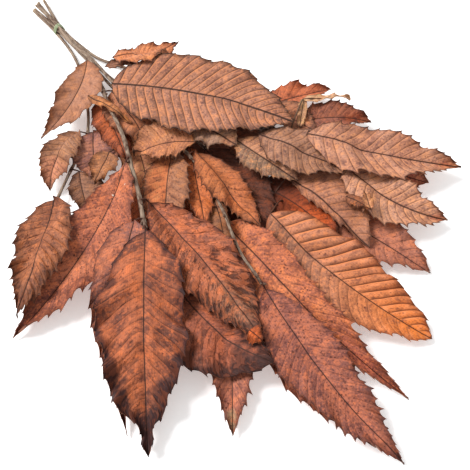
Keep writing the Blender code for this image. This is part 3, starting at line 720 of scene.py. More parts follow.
# The order is the order of laying down: a leaf lies over the ones before it. A twig's name stands where
# that twig is laid.
PILE: tuple[str | Leaf, ...] = (
    # Hidden lower leaves, which close the gaps of the pile.
    Leaf("under_leaf_back", "twig_r", (8, 142), (124, 46), 58, (0.5, 0.5), DUSK_FINISH, belly=0.4,
         **HIDDEN),
    Leaf("under_leaf_right", "twig_r", (80, 74), (134, -16), 46, (0.5, 0.5), SHADE_FINISH, belly=0.5,
         **HIDDEN),
    Leaf("under_leaf_middle", "twig_o", (6, 66), (84, -30), 66, (0.5, 0.5), SHADE_FINISH, belly=0.5,
         **HIDDEN),
    Leaf("under_leaf_inner", "twig_b", (0, 122), (-40, 14), 52, (0.5, 0.5), DIM_FINISH, belly=0.6,
         **HIDDEN),
    Leaf("under_leaf_left", "twig_l", (-28, 112), (-72, 34), 44, (0.5, 0.5), DIM_FINISH, **HIDDEN),
    "twig_r",
    "twig_o",
    "twig_l",
    # The lower leaves at the right and in the middle.
    Leaf("leaf_r_under", "twig_r", (122, 66), (181, 26), 34, (12, 9),
         LeafFinish((158, 96, 74), (122, 66, 50), (100, 50, 36), right=(150, 96, 80), tip=(138, 62, 34),
                    tip_from=0.6, tip_blend=0.1), bow=5, teeth=8, left=1.0, spike=3.4, belly=0.7),
    Leaf("leaf_r_top_back", "twig_r", (92, 106), (175, 80), 30, (10, 11),
         LeafFinish((204, 116, 80), (184, 100, 70), (140, 74, 54)), bow=2, arch=2, teeth=8),
    Leaf("leaf_r_inner", "twig_r", (114, 96), (128, 44), 32, (12, 12),
         LeafFinish((186, 124, 94), (150, 98, 76), (104, 68, 54)), arch=2, teeth=6),
    Leaf("leaf_r_end_low", "twig_r", (134, -2), (180, -57), 39, (10, 6),
         LeafFinish((250, 156, 128), (200, 120, 100), (124, 66, 54)), teeth=7, right=1.2, spike=4.0),
    Leaf("leaf_o_end_low", "twig_o", (83, -28), (120, -126), 46, (12, 0),
         LeafFinish((196, 124, 98), (164, 104, 86), (124, 72, 58), lines=0.3), left=1.1, teeth=7, taper=1.1,
         spike=4.2),
    # leaf_o_inner's dark brown base is partly painted shade; its orange tip is its own colour.
    Leaf("leaf_o_inner", "twig_o", (46, 34), (68, -58), 58, (14, 12),
         LeafFinish((106, 46, 24), (76, 38, 26), (92, 42, 28), tip=(216, 96, 38), tip_from=0.42,
                    tip_blend=0.3, dots=0.9, lines=0.2, mottling=0.8), bow=6, teeth=9, belly=0.6),
    Leaf("leaf_o_dark", "twig_o", (40, 102), (16, -20), 56, (4, 0),
         LeafFinish((118, 62, 40), (72, 42, 32), (36, 22, 18), dots=0.9, lines=0.1, grain=0.8, creased=0.4),
         bow=8, cup_left=0.5, cup_right=0.5, arch=-2, wave=0.2, teeth=8),
    Leaf("leaf_o_inner_right", "twig_o", (74, 20), (87, -80), 53, (18, 12),
         LeafFinish((188, 128, 100), (160, 104, 80), (116, 74, 58), shade=0.35, **VEINED), bow=2, teeth=8,
         left=1.25, right=0.3, pleat=0.5),
    Leaf("leaf_o_orange", "twig_o", (34, -6), (77, -174), 68, (18, 4),
         LeafFinish((208, 136, 102), (180, 112, 78), (168, 86, 44), (84, 46, 30), right=(180, 124, 98),
                    tip=(238, 130, 54), tip_from=0.62, tip_blend=0.35, dots=0.3, shade=1.0, lines=0.8,
                    right_lines=0.3), bow=-8, teeth=12, wave=2.5, waves=4, belly=0.6, taper=0.8, pleat=3.0,
         pleat_right=0.08, spike=2.2),
    # The leaves of twig_b, under it and over it.
    Leaf("leaf_b_back", "twig_b", (-7, 187), (-46, 67), 43, (14, 10),
         LeafFinish((250, 170, 126), (200, 122, 90), (112, 60, 46), mottling=0.4, lines=0.2), bow=7,
         teeth=7),
    Leaf("leaf_b_low", "twig_b", (-20, -44), (-15, -226), 44, (14, 0),
         LeafFinish((180, 106, 82), (146, 84, 70), (108, 62, 52)), bow=-11, teeth=10, taper=1.15),
    Leaf("leaf_b_side", "twig_b", (0, 14), (26, -202), 54, (18, 4),
         LeafFinish((216, 128, 86), (180, 104, 80), (140, 76, 60), tip=(180, 98, 78), tip_from=0.6,
                    tip_blend=0.15, dots=0.9, grain=0.8, lines=0.25, shade=0.15, mottling=0.8), bow=-7,
         left=0.84, right=1.15, teeth=13, belly=0.32, taper=1.15, pleat=0.4, spike=4.0),
    Leaf("leaf_b_lobe", "twig_b", (6, 53), (-21, -16), 36, (16, 12),
         LeafFinish((160, 106, 74), (176, 112, 76), (130, 84, 60)), bow=2, teeth=6, left=0.45, right=1.1),
    Leaf("leaf_b_front_low", "twig_b", (-15, -9), (-106, -143), 48, (14, 3),
         LeafFinish((196, 124, 100), (146, 84, 70), (104, 60, 52), tip=(212, 180, 134), tip_from=0.88,
                    dots=0.6), bow=1, teeth=9, taper=1.05, spike=4.6),
    Leaf("leaf_b_strip", "twig_b", (21, 101), (-19, 18), 31, (16, 14),
         LeafFinish((216, 122, 72), (192, 100, 60), (128, 66, 46), dots=0.5, **BLOTCHED), teeth=7,
         spike=3.0),
    Leaf("leaf_b_left", "twig_b", (13, 112), (-58, 23), 42, (20, 16),
         LeafFinish((176, 120, 90), (156, 102, 78), (110, 70, 54), right=(218, 124, 76), dots=0.5,
                    **BLOTCHED), bow=-3, teeth=9, spike=3.2),
    "twig_b",
    Leaf("leaf_b_dotted", "twig_b", (20, 89), (18, -13), 37, (20, 16),
         LeafFinish((194, 118, 76), (190, 106, 64), (110, 56, 36), dots=0.9, **BLOTCHED), teeth=9,
         spike=3.4),
    Leaf("leaf_b_end", "twig_b", (-15, -56), (-12, -239), 51, (24, 4),
         LeafFinish((184, 110, 86), (128, 78, 72), (104, 58, 52), (84, 48, 40), mottling=0.75, scorch_and_shade=0.4,
                    creased=0.15, **WEATHERED), bow=-7, left=1.0, right=1.15, teeth=14, wave=2.5, waves=4,
         belly=0.75, taper=1.15, pleat=0.35, spike=3.8),
    # The small leaves in the dark inner part at the left.
    Leaf("leaf_l_inner", "twig_l", (-76, 141), (-92, 93), 34, (12, 6),
         LeafFinish((158, 112, 88), (130, 88, 68), (92, 60, 46), grain=0.7), bow=-2, left=1.25, teeth=7,
         spike=1.6, right=0.7),
    Leaf("leaf_l_plum", "twig_l", (-43, 170), (-69, 121), 44, (14, 12),
         LeafFinish((184, 122, 98), (150, 102, 94), (104, 64, 54), mottling=0.9, lines=0.3, rim=0.4),
         bow=-1, left=1.25, teeth=9, spike=1.4),
    Leaf("leaf_a_inner", "twig_a", (-45, 136), (-73, 117), 27, (16, 13),
         LeafFinish((184, 124, 86), (156, 102, 72), (120, 78, 58), lines=0.3), teeth=6, spike=1.2,
         belly=0.5),
    Leaf("leaf_l_red", "twig_l", (-16, 200), (-37, 118), 34, (12, 11),
         LeafFinish((184, 98, 60), (140, 74, 52), (92, 44, 32), grain=0.7, lines=0.2), teeth=8, belly=0.5,
         taper=0.8, spike=1.6),
    Leaf("leaf_a_small", "twig_a", (-3, 200), (-11, 120), 46, (15, 13),
         LeafFinish((196, 128, 94), (160, 106, 82), (104, 64, 50)), bow=1, teeth=6),
    "twig_m",
    "twig_a",
    Leaf("scrap_brown_base", "twig_r", (8, 232), (34, 214), 12, (15, 17),
         LeafFinish((186, 132, 106), (150, 104, 84), (90, 56, 46)), teeth=4, spike=1.2, in_frame=False),
    # The large leaves at the front and the left.
    Leaf("leaf_a_orange", "twig_a", (-40, 115), (-206, 34), 50, (26, 0),
         LeafFinish((200, 120, 88), (160, 92, 72), (120, 66, 54), tip=(146, 82, 64), tip_from=0.68,
                    flecks=0.9, scorch_and_shade=0.5, mottling=0.9, creased=0.25, **WEATHERED), bow=12, left=1.15,
         teeth=11, wave=2.5, waves=4, taper=1.15, belly=0.9, pleat=0.4, ruffle=2.2, spike=3.4),
    Leaf("leaf_a_under", "twig_a", (-68, 56), (-173, -93), 50, (22, 0),
         LeafFinish((196, 118, 88), (142, 98, 92), (112, 68, 62), dots=0.7, mottling=0.8, grain=0.7,
                    lines=0.25, shade=0.15, creased=0.25, scorch_and_shade=0.4, tip=(104, 58, 48), tip_from=0.84),
         bow=-10, right=1.0, teeth=10, belly=0.6, taper=1.4, pleat=0.4, spike=2.2),
    Leaf("leaf_a_right_low", "twig_a", (-59, 34), (-49, -119), 58, (22, 5),
         LeafFinish((178, 100, 72), (130, 76, 60), (76, 44, 42), scorch_and_shade=0.95, mottling=0.7, creased=0.4,
                    lines=0.35, shade=0.2, grain=0.7), bow=-17, right=1.5, teeth=9, taper=0.8, belly=0.7,
         pleat=0.9, ruffle=3.4, spike=2.4, lobes=2.0),
    Leaf("leaf_a_right", "twig_a", (-46, 66), (-46, -98), 57, (26, 12),
         LeafFinish((196, 114, 80), (152, 90, 70), (88, 52, 46), right=(176, 104, 76), dots=0.4, scorch_and_shade=0.6,
                    mottling=0.8, creased=0.75, lines=0.35, shade=0.2, grain=0.7, tip=(146, 100, 76),
                    tip_from=0.62, tip_blend=0.12), bow=4, teeth=10, wave=3, waves=4, ruffle=3.4,
         belly=0.85, pleat=0.9, spike=2.8, lobes=1.5),
    Leaf("scrap_orange_curl", "twig_a", (-50, -89), (-47, -102), 13, (14, 12),
         LeafFinish((218, 108, 52), (190, 88, 46), (110, 58, 40), lines=0.2), teeth=4, cup_left=3,
         cup_right=3, belly=0.5, spike=1.6, in_frame=False),
    Leaf("leaf_a_front", "twig_a", (-67, 38), (-169, -118), 70, (28, 4),
         LeafFinish((190, 108, 72), (108, 64, 52), (78, 44, 46), (60, 36, 30), edge_reach=7.0, mottling=0.9,
                    scorch_and_shade=1.0, creased=0.3, lines=0.5, shade=0.25, dots=0.3, rim=0.9), bow=-2, teeth=12,
         wave=3, waves=4, belly=0.7, taper=0.95, ruffle=5.0, right=1.1, pinch=0.5, pinch_at=0.9, pleat=0.4,
         spike=2.4, lobes=2.0),
    # The upper leaves at the left.
    Leaf("leaf_l_left", "twig_l", (-52, 179), (-108, 141), 41, (12, 6),
         LeafFinish((176, 126, 98), (156, 108, 84), (134, 86, 64), tip=(212, 140, 108), tip_from=0.5,
                    shade=0.5), bow=-8, right=0.75, teeth=8, belly=0.8, pleat=0.5, spike=2.6),
    Leaf("leaf_l_top", "twig_l", (-3, 246), (-86, 195), 42, (18, 10),
         LeafFinish((184, 130, 104), (180, 122, 92), (146, 92, 64), (104, 62, 44), lines=0.2, shade=0.15,
                    dots=0.0, rim=0.5, grain=0.35, mottling=0.9), bow=9, right=0.8, teeth=8, taper=1.2,
         left=1.15, pleat=0.2, spike=1.8),
    Leaf("leaf_l_end", "twig_l", (-108, 125), (-194, 44), 50, (16, 6),
         LeafFinish((184, 116, 82), (140, 86, 64), (100, 62, 50), (64, 38, 30), shade=0.35, scorch_and_shade=0.6,
                    creased=0.45, dots=0.6, tip=(206, 118, 72), tip_from=0.86, mottling=0.9,
                    right_lines=0.6), bow=3, left=1.05, right=0.95, teeth=10, wave=2.5, waves=4, belly=0.6,
         pleat=1.9, pleat_right=0.4, ruffle=2.0, spike=3.2),
    # The upper leaves in the middle and at the right, with crisp veins.
    Leaf("leaf_m_end", "twig_m", (57, 81), (76, 8), 40, (26, 22),
         LeafFinish((206, 148, 114), (182, 124, 96), (124, 88, 70), right=(156, 126, 104), right_lines=0.5,
                    **VEINED), bow=-1, teeth=9, pleat=0.4),
    Leaf("leaf_m_folded", "twig_m", (24, 95), (-30, 117), 45, (28, 24),
         LeafFinish((208, 144, 106), (190, 118, 86), (130, 80, 56), rim=0.95, edge_reach=2.0), bow=-5,
         teeth=12, pleat=0.4, taper=0.9, belly=0.9, spike=3.0, left=0.85, right=1.1),
    Leaf("leaf_m_grey", "twig_m", (24, 117), (52, 69), 40, (30, 26),
         LeafFinish((184, 142, 118), (144, 108, 90), (96, 70, 58), tip=(208, 140, 102), tip_from=0.72,
                    right_lines=0.5, **VEINED), bow=3, teeth=7),
    Leaf("leaf_r_end_wide", "twig_r", (123, -3), (165, -98), 56, (22, 8),
         LeafFinish((212, 156, 128), (190, 132, 104), (150, 92, 70), tip=(206, 118, 84), tip_from=0.86,
                    **CRISP), bow=-12, left=0.9, teeth=9, taper=1.1, pleat=0.5, spike=4.2),
    Leaf("leaf_r_dusty", "twig_r", (75, 66), (122, -13), 49, (28, 24),
         LeafFinish((174, 126, 102), (160, 112, 88), (110, 74, 58), **CRISP), bow=-2, teeth=9, pleat=0.5,
         spike=2.2),
    Leaf("leaf_r_long", "twig_r", (109, 38), (213, -64), 60, (28, 10),
         LeafFinish((200, 144, 118), (188, 128, 102), (148, 88, 66), tip=(208, 116, 80), tip_from=0.84,
                    **CRISP), bow=-4, left=0.84, teeth=11, taper=1.1, pleat=0.5, spike=3.6, belly=0.7),
    # Curled bits of leaf at the right.
    Leaf("scrap_curled_edge", "twig_r", (99, -32), (105, -58), 10, (20, 18),
         LeafFinish((186, 118, 82), (146, 90, 62), (100, 58, 42), lines=0.1), teeth=5, cup_left=4,
         cup_right=0, belly=0.4, taper=0.6, spike=1.6, in_frame=False),
    Leaf("scrap_curled_tip", "twig_r", (103, -58), (111, -41), 10, (20, 34),
         LeafFinish((236, 164, 118), (212, 136, 92), (190, 118, 82), lines=0.1, dots=0.0), teeth=3,
         cup_left=4, cup_right=2, belly=0.35, taper=0.8, spike=1.2, in_frame=False),
    Leaf("scrap_tan_strip", "twig_r", (140, 80), (118, 58), 9, (14, 14),
         LeafFinish((240, 182, 140), (222, 160, 120), (214, 150, 112), lines=0.0, dots=0.0, rim=0.5),
         teeth=3, cup_left=0, cup_right=3, belly=0.3, taper=0.4, spike=1.0, in_frame=False),
    Leaf("leaf_r_curled", "twig_r", (138, 79), (182, 59), 8, (12, 13),
         LeafFinish((255, 204, 166), (234, 174, 130), (234, 172, 128), lines=0.0, dots=0.0, rim=0.2,
                    grain=0.4), bow=1, arch=1, teeth=3, cup_left=3, cup_right=0, belly=0.12, taper=0.1,
         spike=1.0),
    Leaf("scrap_tan_fold", "twig_a", (-27, 203), (-12, 148), 9, (24, 22),
         LeafFinish((216, 146, 94), (196, 124, 80), (176, 108, 68), lines=0.1, dots=0.0), teeth=4,
         cup_left=5, cup_right=1, belly=0.35, taper=0.7, spike=1.0, in_frame=False),
    # The two leaves on top.
    # leaf_m_big's near-black edge colour is partly its own dark teeth and partly painted shadow under its
    # curled margin.
    Leaf("leaf_m_big", "twig_m", (-4, 195), (108, 57), 96, (34, 34),
         LeafFinish((192, 132, 104), (168, 112, 88), (30, 18, 15), (62, 36, 28), right=(184, 128, 104),
                    dots=0.0, shade=0.7, lines=1.0, rim=1.0, edge_reach=5.0, mottling=0.9, grain=0.75,
                    rib=1.0), bow=9, left=0.92, teeth=14, cup_left=2, cup_right=4, arch=2, wave=1.2,
         belly=0.6, taper=0.85, pleat=0.7, spike=2.4),
    Leaf("leaf_r_small", "twig_r", (18, 231), (85, 213), 36, (14, 20),
         LeafFinish((220, 142, 100), (196, 114, 76), (118, 62, 46), (96, 54, 42), creased=0.3, rim=0.9),
         bow=-3, left=0.85, right=1.45, cup_left=2, cup_right=1, arch=0, wave=0.8, belly=0.75, taper=1.25,
         pinch=0.3, pinch_at=0.9, teeth=9, spike=2.4),
)


@dataclass
class Pile:
    """The height of the pile over every small cell of the surface, in millimetres."""

    cell: float = 1.5
    low: Place = (-260.0, -300.0)
    cells: tuple[int, int] = (360, 460)
    top: np.ndarray = field(init=False)

    def __post_init__(self) -> None:
        """Start with the bare surface."""
        self.top = np.zeros(self.cells)

    def locate(self, x: np.ndarray, y: np.ndarray) -> tuple[np.ndarray, np.ndarray]:
        """Find the cell that each place falls in.

        Args:
            x: Places along X.
            y: Places along Y.

        Returns:
            The cells' columns and rows.
        """
        column = ((np.asarray(x) - self.low[0]) / self.cell).astype(int)
        row = ((np.asarray(y) - self.low[1]) / self.cell).astype(int)
        return np.clip(column, 1, self.cells[0] - 2), np.clip(row, 1, self.cells[1] - 2)

    def needed(self, x: np.ndarray, y: np.ndarray, gap: float) -> np.ndarray:
        """The height that a new piece must have at each place.

        Args:
            x: Places along X.
            y: Places along Y.
            gap: The gap to what lies there.

        Returns:
            The heights. They are 0 where nothing lies.
        """
        column, row = self.locate(x, y)
        highest = self.top[column, row]
        for step_x in (-1, 0, 1):
            for step_y in (-1, 0, 1):
                highest = np.maximum(highest, self.top[column + step_x, row + step_y])
        return np.where(highest > 0.0, highest + gap, 0.0)

    def add(self, x: np.ndarray, y: np.ndarray, top: np.ndarray) -> None:
        """Raise the pile to a new piece's top.

        Args:
            x: Places along X.
            y: Places along Y.
            top: The piece's height at each place.
        """
        column, row = self.locate(x, y)
        np.maximum.at(self.top, (column, row), top)


def smooth_cover(values: np.ndarray, reach: int, axis: int) -> np.ndarray:
    """A smooth line or sheet that is nowhere lower than the values.

    Args:
        values: The heights to cover.
        reach: How many steps the smoothing takes in.
        axis: The axis to smooth along.

    Returns:
        The cover.
    """
    half = max(1, reach // 2)

    def windows(heights: np.ndarray, steps: int) -> np.ndarray:
        """Stack the heights as they are, and moved by up to so many steps each way.

        Args:
            heights: The heights.
            steps: The number of steps.

        Returns:
            The moved copies, stacked on a new first axis.
        """
        padding = [(0, 0)] * heights.ndim
        padding[axis] = (steps, steps)
        padded = np.pad(heights, padding, mode="edge")
        count = heights.shape[axis]
        return np.stack([np.take(padded, range(k, k + count), axis) for k in range(2 * steps + 1)])

    cover = windows(values, 2 * half).max(axis=0)
    return windows(windows(cover, half).mean(axis=0), half).mean(axis=0)


def smooth_route(points: Route, spacing: float) -> tuple[np.ndarray, np.ndarray]:
    """Put evenly spaced points on a smooth curve through a route's own points.

    Args:
        points: The route's points.
        spacing: The distance between the new points.

    Returns:
        The new points and their distances along the route.
    """
    given = np.array(points, float)
    steps = np.hypot(*np.diff(given[:, :2], axis=0).T)
    places = np.concatenate([[0.0], np.cumsum(steps)])
    slopes = np.gradient(given, places, axis=0)
    at = np.linspace(0.0, places[-1], int(round(places[-1] / spacing)) + 1)
    span = np.clip(np.searchsorted(places, at, side="right") - 1, 0, len(given) - 2)
    length = (places[span + 1] - places[span])[:, None]
    part = (at[:, None] - places[span][:, None]) / length
    curve = (
        (2 * part**3 - 3 * part**2 + 1) * given[span]
        + (part**3 - 2 * part**2 + part) * slopes[span] * length
        + (3 * part**2 - 2 * part**3) * given[span + 1]
        + (part**3 - part**2) * slopes[span + 1] * length
    )
    return curve, at


def in_metres(points: np.ndarray) -> np.ndarray:
    """Bring table places into the frame, in metres."""
    return (points - np.array([*TABLE_CENTRE, 0.0])) * MM


def unit(vectors: np.ndarray) -> np.ndarray:
    """The same directions, each with a length of 1."""
    return vectors / np.linalg.norm(vectors, axis=-1)[..., None]


def left_of(headings: np.ndarray) -> np.ndarray:
    """The directions a quarter turn to the left, seen from above."""
    return np.stack([-headings[..., 1], headings[..., 0]], axis=-1)


def ring_turns(sides: int) -> np.ndarray:
    """The angles of a ring's evenly spaced points."""
    return 2.0 * math.pi * np.arange(sides) / sides


def rings_along(
    centres: np.ndarray, left: np.ndarray, radii: np.ndarray, sides: int, squash: float = 1.0
) -> np.ndarray:
    """Points of rings that stand square to a path.

    Args:
        centres: The path's points.
        left: A direction square to the path at each point, or one for all.
        radii: The ring's radius at each point, or at each point and side.
        sides: How many points a ring has.
        squash: The ring's size along its second direction, as a share of the first.

    Returns:
        An array of rings by sides by 3.
    """
    heading = unit(np.gradient(centres, axis=0))
    left = np.broadcast_to(left, centres.shape)
    left = unit(left - heading * (left * heading).sum(axis=1)[:, None])
    up = np.cross(heading, left)
    turn = ring_turns(sides)
    radii = np.asarray(radii, float).reshape(len(centres), -1)
    return (
        centres[:, None, :]
        + left[:, None, :] * (np.cos(turn) * radii)[..., None]
        + up[:, None, :] * (np.sin(turn) * radii * squash)[..., None]
    )


class Workshop:
    """The few modelling steps that every piece shares."""

    @staticmethod
    def deselect() -> None:
        """Leave nothing selected."""
        for piece in list(bpy.context.selected_objects):
            piece.select_set(False)

    @staticmethod
    def only(piece: bpy.types.Object) -> None:
        """Select one piece alone and make it active.

        Args:
            piece: The piece.
        """
        Workshop.deselect()
        piece.select_set(True)
        bpy.context.view_layer.objects.active = piece

    @staticmethod
    def tube(name: str, rings: np.ndarray) -> bpy.types.Object:
        """Extrude a closed tube through rings of points.

        Args:
            name: The piece's name.
            rings: Its rings, in metres.

        Returns:
            The tube.
        """
        count, sides = rings.shape[:2]
        Workshop.deselect()
        bpy.ops.mesh.primitive_circle_add(vertices=sides, radius=MM, fill_type="NGON")
        piece = bpy.context.active_object
        bpy.ops.object.mode_set(mode="EDIT")
        bpy.ops.mesh.select_all(action="SELECT")
        for _ in range(count - 1):
            bpy.ops.mesh.extrude_region_move(TRANSFORM_OT_translate={"value": (0.0, 0.0, MM)})
        bpy.ops.object.mode_set(mode="OBJECT")
        piece.name = piece.data.name = name
        piece.data.vertices.foreach_set("co", rings.ravel())
        piece.data.update()
        return piece

    @staticmethod
    def write(piece: bpy.types.Object, name: str, values: np.ndarray) -> None:
        """Keep a vector at each point of a piece's mesh.

        Args:
            piece: The piece.
            name: The attribute's name.
            values: Three numbers for each point.
        """
        attribute = piece.data.attributes.new(name, "FLOAT_VECTOR", "POINT")
        attribute.data.foreach_set("vector", np.ascontiguousarray(values, np.float32).ravel())

    @staticmethod
    def write_uv(piece: bpy.types.Object, values: np.ndarray) -> None:
        """Lay each point of a piece at its own place in its UV map.

        Args:
            piece: The piece.
            values: One row of two numbers for each point.
        """
        mesh = piece.data
        layer = mesh.uv_layers.get(BLADE_UV) or mesh.uv_layers.new(name=BLADE_UV)
        corners = np.zeros(len(mesh.loops), np.int32)
        mesh.loops.foreach_get("vertex_index", corners)
        layer.data.foreach_set("uv", values[corners].astype(np.float32).ravel())

    @staticmethod
    def join(main: bpy.types.Object, others: list[bpy.types.Object]) -> None:
        """Join other pieces into the main one.

        Args:
            main: The piece that stays.
            others: The pieces that become part of it.
        """
        Workshop.only(main)
        for piece in others:
            piece.select_set(True)
        bpy.ops.object.join()

    @staticmethod
    def smooth(piece: bpy.types.Object, degrees: float) -> None:
        """Shade a piece smooth, with sharp edges above an angle."""
        Workshop.only(piece)
        bpy.ops.object.shade_smooth_by_angle(angle=math.radians(degrees))

    @staticmethod
    def dress(piece: bpy.types.Object, material: bpy.types.Material, slot: str) -> None:
        """Give a piece its material and its body.

        Args:
            piece: The piece.
            material: Its material.
            slot: The record's slot for it. It is not used.
        """
        piece.data.materials.clear()
        piece.data.materials.append(material)
        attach(piece, BODY)
        LOG.info("%s: %d faces", piece.name, len(piece.data.polygons))


@dataclass
class LaidTwig:
    """A twig on the pile, with its nodes and buds.

    It keeps gap to what it crosses. At each node it swells by node_swell over node_reach, darkens over
    dark_reach and bends by kink, and a bud starts bud_start beyond it.
    """

    twig: Twig
    heights: Pile
    blades: Pile
    laid_twigs: list["LaidTwig"]
    seed: int
    spacing: float = 2.5
    sides: int = 12
    gap: float = 0.25
    node_swell: float = 0.22
    node_reach: float = 4.0
    dark_reach: float = 2.6
    kink: float = 0.35
    roughness: float = 0.035
    grain_stretch: float = 0.16
    bud_length: float = 4.6
    bud_width: float = 2.5
    bud_sides: int = 8
    bud_start: float = 1.5
    bud_tone: float = 0.9
    floor_gap: float = 0.1
    nodes: list[float] = field(default_factory=list)

    def __post_init__(self) -> None:
        """Lay the twig down."""
        self.route, self.at = smooth_route(self.twig.route, self.spacing)
        self.radius = np.interp(self.at, (0.0, self.at[-1]), (self.twig.cut_radius, self.twig.end_radius))
        leaves = [piece for piece in PILE if isinstance(piece, Leaf) and piece.twig == self.twig.name]
        self.nodes = sorted(self.nearest(leaf.base)[2] for leaf in leaves)
        for place in self.nodes:
            near = np.exp(-(((self.at - place) / self.node_reach) ** 2))
            self.radius = self.radius * (1.0 + self.node_swell * near)
        self.radius = np.minimum(self.radius, max(self.twig.cut_radius, self.twig.end_radius) * 1.3)
        self.lay()

    def lay(self) -> None:
        """Lift the twig clear of the blades and twigs that it crosses, then add it to the pile."""
        route, radius = self.route, self.radius
        across = left_of(unit(np.gradient(route[:, :2], axis=0)))
        least = np.maximum(route[:, 2], radius + self.floor_gap)
        for side in np.linspace(-1.0, 1.0, 7):
            place = route[:, :2] + across * (side * radius)[:, None]
            least = np.maximum(least, self.blades.needed(place[:, 0], place[:, 1], self.gap) + radius)
        for other in self.laid_twigs:
            apart = np.linalg.norm(route[:, None, :2] - other.route[None, :, :2], axis=2)
            touch = radius[:, None] + other.radius[None, :] + self.gap
            rise = np.sqrt(np.maximum(touch**2 - apart**2, 0.0))
            above = np.where(apart < touch, other.route[None, :, 2] + rise, 0.0)
            least = np.maximum(least, above.max(axis=1))
        route[:, 2] = smooth_cover(least, 6, 0)
        for side in np.linspace(-1.0, 1.0, 9):
            place = route[:, :2] + across * (side * radius)[:, None]
            top = route[:, 2] + radius * math.sqrt(1.0 - 0.6 * side * side)
            for step in np.linspace(0.0, 1.0, 3)[:-1]:
                self.heights.add(
                    place[:-1, 0] * (1 - step) + place[1:, 0] * step,
                    place[:-1, 1] * (1 - step) + place[1:, 1] * step,
                    top[:-1],
                )

    def nearest(self, place: Place) -> tuple[np.ndarray, float, float]:
        """The twig's point nearest to a place, its radius, and its distance along the twig."""
        index = int(np.argmin(np.hypot(self.route[:, 0] - place[0], self.route[:, 1] - place[1])))
        return self.route[index], float(self.radius[index]), float(self.at[index])

    def make(self) -> bpy.types.Object:
        """Make the twig and its buds as one piece.

        Returns:
            The twig.
        """
        draw = np.random.default_rng(self.seed)
        route = self.route.copy()
        left = np.zeros(route.shape)
        left[:, :2] = left_of(np.gradient(route, axis=0))
        left = unit(left)
        for order, place in enumerate(self.nodes):
            sway = np.exp(-np.abs(self.at - place) / (3.0 * self.node_reach))
            route += left * (sway * self.kink * (-1) ** order)[:, None]
        uneven = 1.0 + self.roughness * draw.standard_normal((len(route), self.sides))
        rings = rings_along(route, left, self.radius[:, None] * uneven, self.sides)
        turn = ring_turns(self.sides)
        slant = self.twig.cut_radius * np.cos(turn + self.seed)
        rings[0] += unit(route[0] - route[1]) * slant[:, None]
        piece = Workshop.tube(self.twig.name + "_bark", in_metres(rings))
        grain = np.empty(rings.shape)
        grain[..., 0] = np.cos(turn) * self.twig.cut_radius
        grain[..., 1] = np.sin(turn) * self.twig.cut_radius
        grain[..., 2] = self.at[:, None] * self.grain_stretch + self.seed
        near_node = np.zeros(len(self.at))
        for place in self.nodes:
            near_node = np.maximum(near_node, np.exp(-(((self.at - place) / self.dark_reach) ** 2)))
        measure = np.zeros(rings.shape)
        measure[..., 0] = near_node[:, None]
        measure[0, :, 1] = 1.0
        Workshop.write(piece, GRAIN, grain)
        Workshop.write(piece, MEASURE, measure)
        self.join_buds(piece, route, left, draw)
        Workshop.smooth(piece, 50.0)
        return piece

    def join_buds(
        self, piece: bpy.types.Object, route: np.ndarray, left: np.ndarray, draw: np.random.Generator
    ) -> None:
        """Set a bud in the axil of each leaf.

        Args:
            piece: The twig's mesh.
            route: The twig's points.
            left: The direction to the twig's left at each point.
            draw: The twig's own random numbers.
        """
        heading = unit(np.gradient(route, axis=0))
        along = np.linspace(0.0, 1.0, 8)
        shape = np.sin(math.pi * np.clip(along * 0.86 + 0.10, 0.0, 1.0)) ** 0.8
        shape[-1] = 0.05
        buds = []
        for place in self.nodes:
            index = int(np.argmin(np.abs(self.at - place - self.bud_start)))
            side = draw.uniform(0.15, 0.85) * math.pi
            outward = left[index] * math.cos(side) + np.array([0.0, 0.0, math.sin(side)])
            aim = unit(heading[index] * 0.8 + outward * 0.6)
            foot = route[index] + outward * self.radius[index] * 0.6
            path = foot + aim * (along * self.bud_length)[:, None]
            rings = rings_along(path, np.cross(aim, outward), shape * self.bud_width / 2.0, self.bud_sides)
            bud = Workshop.tube("bud", in_metres(rings))
            grain = np.zeros(rings.shape)
            grain[..., 2] = along[:, None] * 3.0
            measure = np.zeros(rings.shape)
            measure[..., 0] = self.bud_tone
            Workshop.write(bud, GRAIN, grain)
            Workshop.write(bud, MEASURE, measure)
            buds.append(bud)
        if buds:
            Workshop.join(piece, buds)


